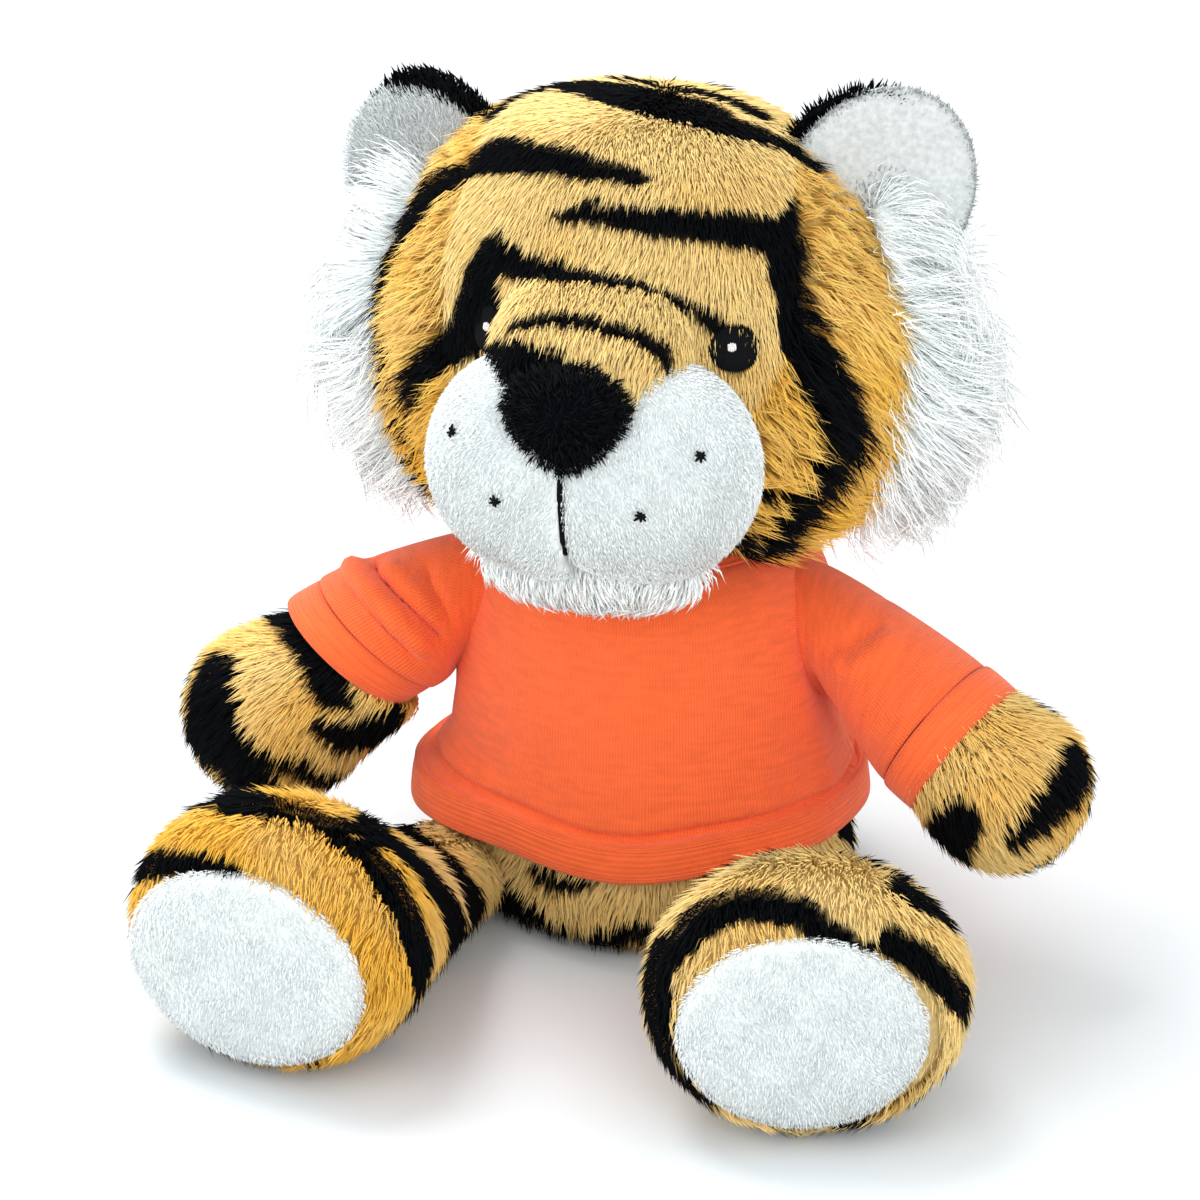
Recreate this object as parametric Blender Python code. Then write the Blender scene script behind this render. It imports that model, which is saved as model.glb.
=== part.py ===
"""A seated plush tiger in a knitted T-shirt, built as the sewn covers, fillings and clothes of the real toy.

Metres, +Z up. The origin is the middle of the flat seat. The tiger faces -Y and its own left is +X.
"""

import math

import bmesh
import bpy
from mathutils import Matrix, Vector

MM = 0.001

# Cloth and clearances
SEAM_GAP = 0.3 * MM
PLUSH_WALL = 1.8 * MM
KNIT_WALL = 1.2 * MM
REST_FLAT = 0.5 * MM
CUT_OVERRUN = 30 * MM
SMOOTH_ANGLE = math.radians(50)

# Torso: a pear that stands on its own flat base
TORSO_HEIGHT = 87.7 * MM
TORSO_HALF_WIDTH = 39.5 * MM
TORSO_HALF_DEPTH = 37.5 * MM
TORSO_MOUTH_SHARES = (1.0, 0.53)
TORSO_PROFILE_SHARES = (
    (0.965, 0.53),
    (0.930, 0.70),
    (0.860, 0.85),
    (0.740, 0.93),
    (0.600, 0.97),
    (0.440, 0.99),
    (0.280, 1.00),
    (0.140, 0.985),
    (0.050, 0.89),
    (0.000, 0.68),
)
TORSO_SIDES = 24
TORSO_RINGS = 12
TORSO_LINING_RINGS = 6

# Bean bag that weighs down the seat
BEAN_BAG_HALF_WIDTH = 13 * MM
BEAN_BAG_HALF_DEPTH = 22 * MM
BEAN_BAG_HEIGHT = 12 * MM
BEAN_BAG_BACK = 6 * MM
BEAN_BAG_SHARES = ((0.0, 0.82), (0.35, 1.0), (0.75, 0.80), (0.95, 0.40), (1.0, 0.0))

# Neck and head
NECK_FORWARD = 4 * MM
HEAD_HEIGHT = 92 * MM
HEAD_HALF_WIDTH = 53 * MM
HEAD_HALF_DEPTH = 45 * MM
HEAD_LEAN = 2 * MM
HEAD_MOUTH_SHARE = 0.36
HEAD_WIDEST_SHARE = 0.42
HEAD_PROFILE_SHARES = (
    (0.000, 0.54, 0.0),
    (0.055, 0.73, 0.3),
    (0.140, 0.88, 0.6),
    (0.270, 0.98, 0.9),
    (HEAD_WIDEST_SHARE, 1.00, 1.0),
    (0.570, 0.975, 1.0),
    (0.700, 0.90, 1.0),
    (0.820, 0.765, 1.0),
    (0.915, 0.57, 1.0),
    (0.975, 0.32, 1.0),
    (1.000, 0.00, 1.0),
)
HEAD_SIDES = 26
HEAD_RINGS = 12
HEAD_LINING_RINGS = 6
CROWN_SEAM_SHARES = ((-0.1, 0.40), (0.30, 0.44), (0.52, 0.64), (0.66, 0.66), (0.85, 0.60), (1.1, 0.56))

# Face. Heights are above the neck seam and reaches are forward of the neck axis
PAD_HALF_WIDTH = 22 * MM
PAD_HALF_DEPTH = 20 * MM
PAD_HALF_HEIGHT = 23 * MM
PAD_OUTWARD = 12 * MM
PAD_PROUD = 4 * MM
PAD_REACH = HEAD_HALF_DEPTH + PAD_PROUD
PAD_ABOVE_NECK = 29.5 * MM
PAD_FACETS = (18, 10)
BRIDGE_HALF_WIDTH = 17.5 * MM
BRIDGE_HALF_DEPTH = 23 * MM
BRIDGE_HALF_HEIGHT = 12.5 * MM
BRIDGE_SINK = 1 * MM
BRIDGE_REACH = HEAD_HALF_DEPTH - BRIDGE_SINK
BRIDGE_ABOVE_NECK = 52 * MM
BRIDGE_TILT = math.radians(37)
BRIDGE_FACETS = (16, 8)
NOSE_HALF_WIDTH = 14.5 * MM
NOSE_HALF_DEPTH = 8 * MM
NOSE_HALF_HEIGHT = 11 * MM
NOSE_PROUD = 19 * MM
NOSE_REACH = HEAD_HALF_DEPTH + NOSE_PROUD
NOSE_ABOVE_NECK = 44 * MM
NOSE_CHIN_WIDTH_SHARE = 0.45
NOSE_FACETS = (14, 8)
MOUTH_STITCH_RADIUS = 0.8 * MM
MOUTH_STITCH_SIDES = 8
MOUTH_STITCH_STEPS = 7
MOUTH_BOTTOM_SHARE = -0.58
MUZZLE_SEAM_ASIDE = 2.5 * MM
WHISKER_DOT_RADIUS = 1.3 * MM
WHISKER_DOT_FACETS = (8, 4)
WHISKER_DOT_SHARES = ((1.13, 0.41), (0.66, -0.08))
CHIN_HALF_WIDTH = 23 * MM
CHIN_HALF_DEPTH = 9 * MM
CHIN_HALF_HEIGHT = 8 * MM
CHIN_REACH = HEAD_HALF_DEPTH
CHIN_ABOVE_NECK = 5.4 * MM
CHIN_FACETS = (16, 8)
EYE_RADIUS = 4.4 * MM
EYE_HALF_THICKNESS = 1.1 * MM
EYE_INSET = 27.3 * MM
EYE_APART = HEAD_HALF_WIDTH - EYE_INSET
EYE_ABOVE_NECK = 52.5 * MM
EYE_FACETS = (14, 6)
EYE_LIGHT_RADIUS = 1.2 * MM
EYE_LIGHT_SHARE = 0.35
EYE_LIGHT_FACETS = (8, 4)

# Ears and ruffs, sewn along the sides of the head
EAR_HALF_WIDTH = 20.5 * MM
EAR_HALF_HEIGHT = 24 * MM
EAR_HALF_THICKNESS = 4.2 * MM
EAR_INSET = 4.5 * MM
EAR_OUT = HEAD_HALF_WIDTH - EAR_INSET
EAR_ABOVE_NECK = 71 * MM
EAR_BACK = 0.5 * MM
EAR_LEAN = math.radians(24)
EAR_TOE_OUT = math.radians(14)
EAR_HOLLOW_RADIUS = 26 * MM
EAR_HOLLOW_DEPTH = 2.4 * MM
EAR_FACETS = (18, 10)
EAR_HOLLOW_FACETS = (16, 10)
RUFF_PROUD = 5 * MM
RUFF_ARC_RADIUS = HEAD_HALF_WIDTH + RUFF_PROUD
RUFF_CENTRE_ABOVE_NECK = 41 * MM
RUFF_BACK = 3 * MM
RUFF_HALF_SPREAD = 12 * MM
RUFF_HALF_THICKNESS = 8 * MM
RUFF_TOP = math.radians(22)
RUFF_BOTTOM = math.radians(-38)
RUFF_SCALLOPS = 5
RUFF_SCALLOP_DEPTH = 1.6 * MM
RUFF_SQUARENESS = 4
RUFF_SIDES = 10
RUFF_STEPS = 13

# Arms, which taper from the shoulder ball to the paw
SHOULDER_INSET = 5.5 * MM
SHOULDER_FORWARD = 7 * MM
SHOULDER_DROP = 18.2 * MM
SHOULDER = Vector((TORSO_HALF_WIDTH - SHOULDER_INSET, -SHOULDER_FORWARD, TORSO_HEIGHT - SHOULDER_DROP))
ARM_DIRECTION_SHARES = Vector((0.82, -0.29, -0.495))
ARM_LENGTH = 76 * MM
PAW_RADIUS = 16.2 * MM
ARM_ROOT_RADIUS = 9.5 * MM
ARM_PROFILE_SHARES = (
    (0.14, 0.58),
    (0.30, 0.66),
    (0.46, 0.76),
    (0.58, 0.84),
    (0.70, 0.97),
    (0.82, 1.0),
    (0.92, 0.80),
    (0.98, 0.45),
    (1.00, 0.0),
)
ARM_MOUTH_SHARE = 0.80
ARM_SIDES = 14
ARM_RINGS = 11
ARM_LINING_RINGS = 5
ARM_SOCKET_EASE = 0.8 * MM
ARM_SOCKET_FACETS = (14, 10)
ARMHOLE_HALF_WIDTH = 13 * MM
ARMHOLE_HALF_HEIGHT = 16 * MM
ARMHOLE_DROP = 5 * MM
ARMHOLE_DEPTH = 6 * MM

# Legs, which lie along the floor and end in the upright foot
HIP_INSET = 4.5 * MM
HIP_FORWARD = 14 * MM
HIP = Vector((TORSO_HALF_WIDTH - HIP_INSET, -HIP_FORWARD, 0))
LEG_SPLAY = math.radians(13.1)
LEG_LENGTH = 94 * MM
FOOT_HALF_WIDTH = 32.5 * MM
FOOT_HALF_HEIGHT = 27.5 * MM
FOOT_PITCH_SHARE = 0.04
HIP_RADIUS = 15 * MM
HIP_HALF_HEIGHT = 10.5 * MM
LEG_PROFILE_SHARES = (
    (0.15, 0.50, 0.375, 0.0),
    (0.27, 0.53, 0.40, 0.0),
    (0.41, 0.61, 0.50, 0.0),
    (0.56, 0.745, 0.69, 0.2),
    (0.71, 0.905, 0.90, 0.7),
    (0.84, 1.0, 1.0, 1.0),
    (0.94, 0.97, 0.945, 1.0),
    (1.00, 0.83, 0.79, 1.0),
)
LEG_MOUTH_SHARE = 0.66
LEG_SIDES = 16
LEG_RINGS = 12
LEG_LINING_RINGS = 6
LEG_SWING_RANGE = (math.radians(-6), math.radians(12))
LEG_ROOM_EASE = 0.8 * MM
LEG_ROOM_RINGS = 9
LEG_ROOM_SHARES = (0.94, 0.66, 0.33, 0.0)
SOLE_PLUG = 2.5 * MM
SOLE_CROWN = 5.2 * MM
SOLE_CROWN_SHARES = ((0.0, 1.0), (0.35, 0.93), (0.75, 0.66), (0.95, 0.30), (1.0, 0.0))

# Tail, which lies behind the seat
TAIL_INSET = 3.5 * MM
TAIL_RADIUS = 6.5 * MM
TAIL_ROOT_CLEARANCE = 2 * MM
TAIL_ROOT = Vector((0, TORSO_HALF_DEPTH - TAIL_INSET, TAIL_RADIUS + TAIL_ROOT_CLEARANCE))
TAIL_LENGTH = 79 * MM
TAIL_PATH_SHARES = (
    (0.0, 0.0),
    (0.0, 0.16),
    (-0.04, 0.31),
    (-0.14, 0.43),
    (-0.29, 0.49),
    (-0.44, 0.47),
    (-0.54, 0.40),
)
TAIL_GIRTH_SHARES = (1.0, 0.92, 0.90, 0.92, 0.96, 1.0, 0.98)
TAIL_END_SHARES = (0.5, 0.85)
TAIL_SIDES = 10
TAIL_RINGS = 9
TAIL_SOCKET_EASE = 1.2 * MM
TAIL_SOCKET_FACETS = (12, 8)
TAIL_MOUTH_SHARE = 0.75
TAIL_DROP_SHARE = 0.33

# T-shirt
SHIRT_EASE = 1.0 * MM
SHIRT_HEM_EASE = 1.0 * MM
SHIRT_FLARE_SHARE = 0.45
SHIRT_NECK_DROP = 4.3 * MM
SHIRT_TOP = TORSO_HEIGHT - SHIRT_NECK_DROP
HEM_BOTTOM = 22.0 * MM
HEM_BAND_HEIGHT = 8.6 * MM
HEM_DIP = 2.6 * MM
HEM_DIP_HALF_ANGLE = math.radians(34)
HEM_ROLL = 0.9 * MM
NECK_BAND_HEIGHT = 3.4 * MM
NECK_BAND_EASE = 0.5 * MM
PANEL_COLUMNS = 14
PANEL_ROWS = 10
SHIRT_ROW_CROWDING = 1.7
BAND_SIDES = 24
FOLD_DEPTH = 1.3 * MM
DRAG_FOLDS = 5
DRAG_SLANT = 4
DRAG_SHARPNESS = 3
BELLY_FOLDS = 3
BELLY_SLANT = 2
BELLY_FOLD_SHARE = 0.35
SLEEVE_LENGTH = 34 * MM
SLEEVE_RADIUS = 15.2 * MM
SLEEVE_SHOULDER_RADIUS = 19 * MM
SLEEVE_SHARES = ((-0.34, 1.0), (0.0, 1.0), (0.30, 0.82), (0.62, 0.30), (1.0, 0.0))
SLEEVE_SIDES = 16
SLEEVE_ROWS = 6
SLEEVE_FOLD_DEPTH = 0.9 * MM
SLEEVE_FOLDS = 2
SLEEVE_FOLD_SLANT = 5
SLEEVE_HEAD_EASE = 1.5 * MM
CUFF_HEIGHT = 8.5 * MM
CUFF_STEP = 0.7 * MM
CUFF_STEP_SHARES = (0.6, 1.0, 0.8)

# Colours of the plush, felt-like thread and knit, as linear red, green and blue
AMBER = (0.76, 0.42, 0.11)
BLACK = (0.012, 0.012, 0.016)
WHITE = (0.86, 0.88, 0.88)
KNIT_ORANGE = (1.0, 0.17, 0.035)
FIBRE = (0.80, 0.80, 0.78)
LINEN = (0.55, 0.50, 0.42)
PILE_ROUGHNESS = 0.95
THREAD_ROUGHNESS = 0.6


def remove_everything():
    for thing in list(bpy.data.objects):
        bpy.data.objects.remove(thing, do_unlink=True)


def material(name, colour, roughness):
    made = bpy.data.materials.new(name)
    made.use_nodes = True
    shader = made.node_tree.nodes["Principled BSDF"]
    shader.inputs["Base Color"].default_value = (*colour, 1.0)
    shader.inputs["Roughness"].default_value = roughness
    shader.inputs["Metallic"].default_value = 0.0
    return made


def link(name, data, parent, finish=None):
    thing = bpy.data.objects.new(name, data)
    bpy.context.scene.collection.objects.link(thing)
    thing.parent = parent
    if finish is not None:
        data.materials.append(finish)
    return thing


def pivot(name, place):
    """An empty on a joint's axis, which carries the pieces that move together."""
    empty = link(name, None, None)
    empty.matrix_world = place
    return empty


def hidden(name, data, parent=None, place=None):
    """A solid that only cuts others, and isn't part of the toy."""
    thing = link(name, data, parent)
    if place is not None:
        thing.matrix_world = place
    thing.hide_render = True
    thing.display_type = "WIRE"
    return thing


def cut(target, *cutters):
    for cutter in cutters:
        step = target.modifiers.new(cutter.name, "BOOLEAN")
        step.operation = "DIFFERENCE"
        step.solver = "EXACT"
        step.object = cutter


# Curves and rings


def between(u, p, q, r, s):
    """A smooth value at a share u of the way from q to r, with p and s as the values before and after."""
    squared = 2 * p - 5 * q + 4 * r - s
    cubed = 3 * q - p - 3 * r + s
    return (2 * q + (r - p) * u + squared * u**2 + cubed * u**3) / 2


def smooth_rows(rows, count):
    """Evenly spaced rows on a smooth curve through the given rows."""
    last = len(rows) - 1
    made = []
    for number in range(count):
        place = last * number / (count - 1)
        first = min(int(place), last - 1)
        u = place - first
        near = (rows[min(max(first + k, 0), last)] for k in (-1, 0, 1, 2))
        made.append(tuple(between(u, *values) for values in zip(*near)))
    return made


def grown(stations, amount):
    """Stations moved along the surface's normal, outwards if amount is positive.

    A station is (along, half width, half height, lift, pitch).
    """
    way = 1 if stations[-1][0] > stations[0][0] else -1
    made = []
    for number, (along, width, height, lift, pitch) in enumerate(stations):
        before = stations[max(number - 1, 0)]
        after = stations[min(number + 1, len(stations) - 1)]
        rise = after[0] - before[0]
        widening = (after[1] + after[2] - before[1] - before[2]) / 2
        length = math.hypot(rise, widening) or 1.0
        sideways = amount * way * rise / length
        endways = -amount * way * widening / length
        made.append((along + endways, width + sideways, height + sideways, lift, pitch))
    return made


def ring(station, sides, axes):
    """One closed loop of points at a station. The axes are the directions of across, up and along."""
    along, width, height, lift, pitch = station
    points = []
    for number in range(sides):
        angle = math.tau * number / sides
        across = width * math.cos(angle)
        up = height * math.sin(angle)
        points.append(axes[0] * across + axes[1] * (lift + up) + axes[2] * (along - pitch * up))
    return points


def rings(stations, sides, axes):
    return [ring(station, sides, axes) for station in stations]


def centre_of(loop):
    return sum(loop, Vector()) / len(loop)


def end_point(along, lift, axes):
    return axes[1] * lift + axes[2] * along


def swept_rings(path, widths, heights, sides, up, bumps=None):
    """Loops square to a path. The widths lie square to up, and the heights along it."""
    loops = []
    for number, point in enumerate(path):
        ahead = path[min(number + 1, len(path) - 1)] - path[max(number - 1, 0)]
        along = ahead.normalized()
        side = up.cross(along).normalized()
        top = along.cross(side)
        loop = []
        for turn in range(sides):
            angle = math.tau * turn / sides
            more = bumps(angle, number / (len(path) - 1)) if bumps else 0
            loop.append(
                point
                + side * (widths[number] + more) * math.cos(angle)
                + top * (heights[number] + more) * math.sin(angle)
            )
        loops.append(loop)
    return loops


# Meshes


def finished(mesh_name, work):
    """Turns the faces outwards and gives the mesh soft shading."""
    work.normal_update()
    bmesh.ops.recalc_face_normals(work, faces=work.faces)
    data = bpy.data.meshes.new(mesh_name)
    work.to_mesh(data)
    work.free()
    data.shade_smooth()
    data.set_sharp_from_angle(angle=SMOOTH_ANGLE)
    return data


def add_band(work, lower, upper):
    for number in range(len(lower)):
        after = (number + 1) % len(lower)
        work.faces.new((lower[number], lower[after], upper[after], upper[number]))


def add_fan(work, loop, tip):
    for number in range(len(loop)):
        work.faces.new((loop[number], loop[(number + 1) % len(loop)], tip))


def add_loops(work, loops):
    made = [[work.verts.new(point) for point in loop] for loop in loops]
    for lower, upper in zip(made, made[1:]):
        add_band(work, lower, upper)
    return made


def solid(mesh_name, loops, start, end):
    """A closed solid through the loops, pointed or flat at both ends."""
    work = bmesh.new()
    made = add_loops(work, loops)
    add_fan(work, made[0], work.verts.new(start))
    add_fan(work, made[-1], work.verts.new(end))
    return finished(mesh_name, work)


def cover(mesh_name, outer, outer_end, inner, inner_end):
    """A cloth cover: outer and inner loops joined at the mouth, and closed or left open at the far end."""
    work = bmesh.new()
    outside = add_loops(work, outer)
    inside = add_loops(work, inner)
    add_band(work, outside[0], inside[0])
    if outer_end is None:
        add_band(work, outside[-1], inside[-1])
    else:
        add_fan(work, outside[-1], work.verts.new(outer_end))
        add_fan(work, inside[-1], work.verts.new(inner_end))
    return finished(mesh_name, work)


def plate(mesh_name, inner, outer):
    """A curved cloth panel between two grids of points, closed along its four edges."""
    work = bmesh.new()
    sheets = [[[work.verts.new(point) for point in row] for row in grid] for grid in (inner, outer)]
    for grid in sheets:
        for low, high in zip(grid, grid[1:]):
            for a, b, c, d in zip(low, low[1:], high[1:], high):
                work.faces.new((a, b, c, d))
    near, far = sheets
    edges = (
        (near[0], far[0]),
        (near[-1], far[-1]),
        ([row[0] for row in near], [row[0] for row in far]),
        ([row[-1] for row in near], [row[-1] for row in far]),
    )
    for first, second in edges:
        for a, b, c, d in zip(first, first[1:], second[1:], second):
            work.faces.new((a, b, c, d))
    return finished(mesh_name, work)


def block(mesh_name, low, high):
    """A plain box for trimming."""
    work = bmesh.new()
    bmesh.ops.create_cube(work, size=1.0)
    size = high - low
    for vertex in work.verts:
        vertex.co = (low + high) / 2 + Vector(a * b for a, b in zip(vertex.co, size))
    return finished(mesh_name, work)


def ball(mesh_name, centre, radii, facets, turn=None, shape=None):
    """A ball with three radii, turned about its centre, with an optional change of shape."""
    work = bmesh.new()
    bmesh.ops.create_uvsphere(work, u_segments=facets[0], v_segments=facets[1], radius=1.0)
    for vertex in work.verts:
        point = Vector(a * b for a, b in zip(vertex.co, radii))
        if shape:
            point = shape(point)
        if turn:
            point = turn @ point
        vertex.co = centre + point
    return finished(mesh_name, work)


UPRIGHT = (Vector((1, 0, 0)), Vector((0, 1, 0)), Vector((0, 0, 1)))
LEVEL_FORWARD = (Vector((1, 0, 0)), Vector((0, 0, 1)), Vector((0, -1, 0)))


# Torso


def torso_stations():
    mouth = TORSO_MOUTH_SHARES
    rows = [mouth, *smooth_rows(TORSO_PROFILE_SHARES, TORSO_RINGS)]
    return [(TORSO_HEIGHT * h, TORSO_HALF_WIDTH * g, TORSO_HALF_DEPTH * g, 0, 0) for h, g in rows]


def lining(stations, depth, count):
    """The inside of a cover: the outside moved in by depth, with fewer rings."""
    inner = grown(stations, -depth)
    return [inner[0], *smooth_rows(inner[1:], count)]


def torso_half_sizes(height):
    """Half width and half depth of the torso's outside at a height."""
    stations = torso_stations()
    for upper, lower in zip(stations, stations[1:]):
        if upper[0] >= height >= lower[0]:
            share = (height - lower[0]) / (upper[0] - lower[0])
            return tuple(lower[k] + (upper[k] - lower[k]) * share for k in (1, 2))
    return stations[0][1], stations[0][2]


def bean_bag_loops(extra):
    floor = PLUSH_WALL + SEAM_GAP
    stations = grown(
        [
            (floor + BEAN_BAG_HEIGHT * h, BEAN_BAG_HALF_WIDTH * g, BEAN_BAG_HALF_DEPTH * g, BEAN_BAG_BACK, 0)
            for h, g in BEAN_BAG_SHARES[:-1]
        ],
        extra,
    )
    stations[0] = (floor - extra, *stations[0][1:])
    start = end_point(floor - extra, BEAN_BAG_BACK, UPRIGHT)
    end = end_point(floor + BEAN_BAG_HEIGHT + extra, BEAN_BAG_BACK, UPRIGHT)
    return rings(stations, TORSO_SIDES // 2, UPRIGHT), start, end


def half_shell(name, start, stations, finish):
    """A cloth panel that wraps half the torso, from the seam at angle start to the seam across from it."""
    columns = TORSO_SIDES // 2
    inner_stations = grown(stations, -PLUSH_WALL)
    inner_stations[0] = (stations[0][0], *inner_stations[0][1:])
    inner_stations[-1] = (PLUSH_WALL, *stations[-1][1:])
    grids = []
    for rows in (inner_stations, stations):
        grid = []
        for height, width, depth, _, _ in rows:
            margin = SEAM_GAP / 2 / (width + depth)
            sweep = math.pi - 2 * margin
            angles = [start + margin + sweep * n / columns for n in range(columns + 1)]
            grid.append([Vector((width * math.cos(a), depth * math.sin(a), height)) for a in angles])
        grids.append(grid)
    return link(name, plate(name, *grids), None, finish)


def build_torso(pockets, plush, fibre, linen):
    stations = torso_stations()
    for name, start in (("torso_back_panel", 0), ("torso_front_panel", math.pi)):
        cut(half_shell(name, start, stations, plush), *pockets)
    foot = stations[-1]
    rim = (0, foot[1] - SEAM_GAP, foot[2] - SEAM_GAP, 0, 0)
    lip = (PLUSH_WALL, *rim[1:])
    disc = solid("torso_base", rings([rim, lip], TORSO_SIDES, UPRIGHT), Vector(), Vector((0, 0, PLUSH_WALL)))
    link("torso_base", disc, None, plush)
    filling = lining(stations, PLUSH_WALL + SEAM_GAP, TORSO_LINING_RINGS)
    filling[-1] = (PLUSH_WALL + SEAM_GAP, *filling[-1][1:])
    loops = rings(filling, TORSO_SIDES, UPRIGHT)
    top = end_point(filling[0][0], 0, UPRIGHT)
    bottom = end_point(filling[-1][0], 0, UPRIGHT)
    stuffing = link("torso_stuffing", solid("torso_stuffing", loops, top, bottom), None, fibre)
    bag_room = hidden("bean_bag_room", solid("bean_bag_room", *bean_bag_loops(SEAM_GAP)))
    cut(stuffing, bag_room, *pockets)
    link("seat_bean_bag", solid("seat_bean_bag", *bean_bag_loops(0)), None, linen)


# Head


def head_stations():
    rows = smooth_rows(HEAD_PROFILE_SHARES, HEAD_RINGS + 1)
    stations = [
        (
            SEAM_GAP + HEAD_HEIGHT * h,
            HEAD_HALF_WIDTH * g,
            HEAD_HALF_DEPTH * g,
            -HEAD_LEAN * lean,
            0,
        )
        for h, g, lean in rows
    ]
    mouth = (
        SEAM_GAP,
        HEAD_HALF_WIDTH * HEAD_MOUTH_SHARE,
        HEAD_HALF_DEPTH * HEAD_MOUTH_SHARE,
        0,
        0,
    )
    return [mouth, *stations[:-1]], stations[-1]


def head_envelope_mesh(extra):
    stations, tip = head_stations()
    loops = rings(grown(stations, extra), HEAD_SIDES, UPRIGHT)
    start = end_point(stations[0][0] - extra, 0, UPRIGHT)
    return solid("head_envelope", loops, start, end_point(tip[0] + extra, tip[3], UPRIGHT))


def head_surface_reach(across, height):
    """How far forward of the neck axis the head's outside is, at a place across and above the neck seam."""
    stations, _ = head_stations()
    for lower, upper in zip(stations[1:], stations[2:]):
        if lower[0] <= height <= upper[0]:
            share = (height - lower[0]) / (upper[0] - lower[0])
            width, depth, lift = (lower[k] + (upper[k] - lower[k]) * share for k in (1, 2, 3))
            return depth * math.sqrt(1 - (across / width) ** 2) - lift
    return 0


def seam_prism(side, away):
    """Everything on one side of the crown's seam. The seam's outline widens at the brow."""
    reach = HEAD_HALF_DEPTH + CUT_OVERRUN
    far = (HEAD_HALF_WIDTH + CUT_OVERRUN) * (1 if away else -1)
    shift = SEAM_GAP / 2 * (-1 if away else 1)
    work = bmesh.new()
    walls = []
    for depth in (-reach, reach):
        line = []
        for height, width in CROWN_SEAM_SHARES:
            line.append(Vector((side * (HEAD_HALF_WIDTH * width + shift), depth, HEAD_HEIGHT * height)))
        for height, _ in reversed(CROWN_SEAM_SHARES):
            line.append(Vector((side * far, depth, HEAD_HEIGHT * height)))
        walls.append([work.verts.new(point) for point in line])
    add_band(work, *walls)
    for wall in walls:
        work.faces.new(wall)
    return finished("seam_prism", work)


def build_head(neck, plush, white, black, fibre, thread_white):
    stations, tip = head_stations()
    inner_stations = lining(stations, PLUSH_WALL, HEAD_LINING_RINGS)
    outer = rings(stations, HEAD_SIDES, UPRIGHT)
    inner = rings(inner_stations, HEAD_SIDES, UPRIGHT)
    outer_end = end_point(tip[0], tip[3], UPRIGHT)
    inner_end = end_point(tip[0] - PLUSH_WALL, tip[3], UPRIGHT)
    eyes = [eye_room(neck, side, SEAM_GAP) for side in (1, -1)]
    panels = {
        "head_crown_panel": [(1, True), (-1, True)],
        "head_left_cheek_panel": [(1, False)],
        "head_right_cheek_panel": [(-1, False)],
    }
    for name, seams in panels.items():
        data = cover(name, outer, outer_end, inner, inner_end)
        panel = link(name, data, neck, plush)
        cut(panel, *(hidden("seam_of_" + name, seam_prism(*seam), neck) for seam in seams))
        if name == "head_crown_panel":
            cut(panel, *eyes)
    filling = lining(stations, PLUSH_WALL + SEAM_GAP, HEAD_LINING_RINGS)
    loops = rings(filling, HEAD_SIDES, UPRIGHT)
    start = end_point(filling[0][0], 0, UPRIGHT)
    end = end_point(tip[0] - PLUSH_WALL - SEAM_GAP, tip[3], UPRIGHT)
    link("head_stuffing", solid("head_stuffing", loops, start, end), neck, fibre)
    build_eyes(neck, black, thread_white)
    build_muzzle(neck, plush, white, black)
    build_ears(neck, white, black)
    build_ruffs(neck, white)


def eye_place(side):
    """Centre of an eye on the head's surface, and the turn that lays it flat there."""
    across = side * EYE_APART
    reach = head_surface_reach(across, EYE_ABOVE_NECK)
    centre = Vector((across, -reach, EYE_ABOVE_NECK))
    axis = Vector((0, -HEAD_LEAN, HEAD_WIDEST_SHARE * HEAD_HEIGHT))
    outward = (centre - axis).normalized()
    return centre, outward.to_track_quat("Z", "Y").to_matrix(), outward


def eye_mesh(side, extra):
    centre, turn, _ = eye_place(side)
    radii = (EYE_RADIUS + extra, EYE_RADIUS + extra, EYE_HALF_THICKNESS + extra)
    return ball("eye", centre, radii, EYE_FACETS, turn)


def eye_room(neck, side, extra):
    return hidden("eye_room", eye_mesh(side, extra), neck)


def eye_light_mesh(side, extra):
    centre, turn, outward = eye_place(side)
    lift = Vector((-EYE_RADIUS, 0, EYE_RADIUS)) * EYE_LIGHT_SHARE
    radius = EYE_LIGHT_RADIUS + extra
    radii = (radius, radius, EYE_HALF_THICKNESS / 2 + extra)
    return ball("eye_highlight", centre + lift + outward * EYE_HALF_THICKNESS, radii, EYE_LIGHT_FACETS, turn)


def build_eyes(neck, black, thread_white):
    for side, word in ((1, "left"), (-1, "right")):
        room = hidden("highlight_room", eye_light_mesh(side, SEAM_GAP), neck)
        cut(link("eye_" + word, eye_mesh(side, 0), neck, black), room)
        link("eye_highlight_" + word, eye_light_mesh(side, 0), neck, thread_white)


def pad_mesh(side, extra):
    centre = Vector((side * PAD_OUTWARD, -PAD_REACH, PAD_ABOVE_NECK))
    radii = (PAD_HALF_WIDTH + extra, PAD_HALF_DEPTH + extra, PAD_HALF_HEIGHT + extra)
    return ball("muzzle_pad", centre, radii, PAD_FACETS)


def bridge_mesh(extra):
    centre = Vector((0, -BRIDGE_REACH, BRIDGE_ABOVE_NECK))
    radii = (BRIDGE_HALF_WIDTH + extra, BRIDGE_HALF_DEPTH + extra, BRIDGE_HALF_HEIGHT + extra)
    return ball("bridge", centre, radii, BRIDGE_FACETS, Matrix.Rotation(BRIDGE_TILT, 3, "X"))


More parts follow.
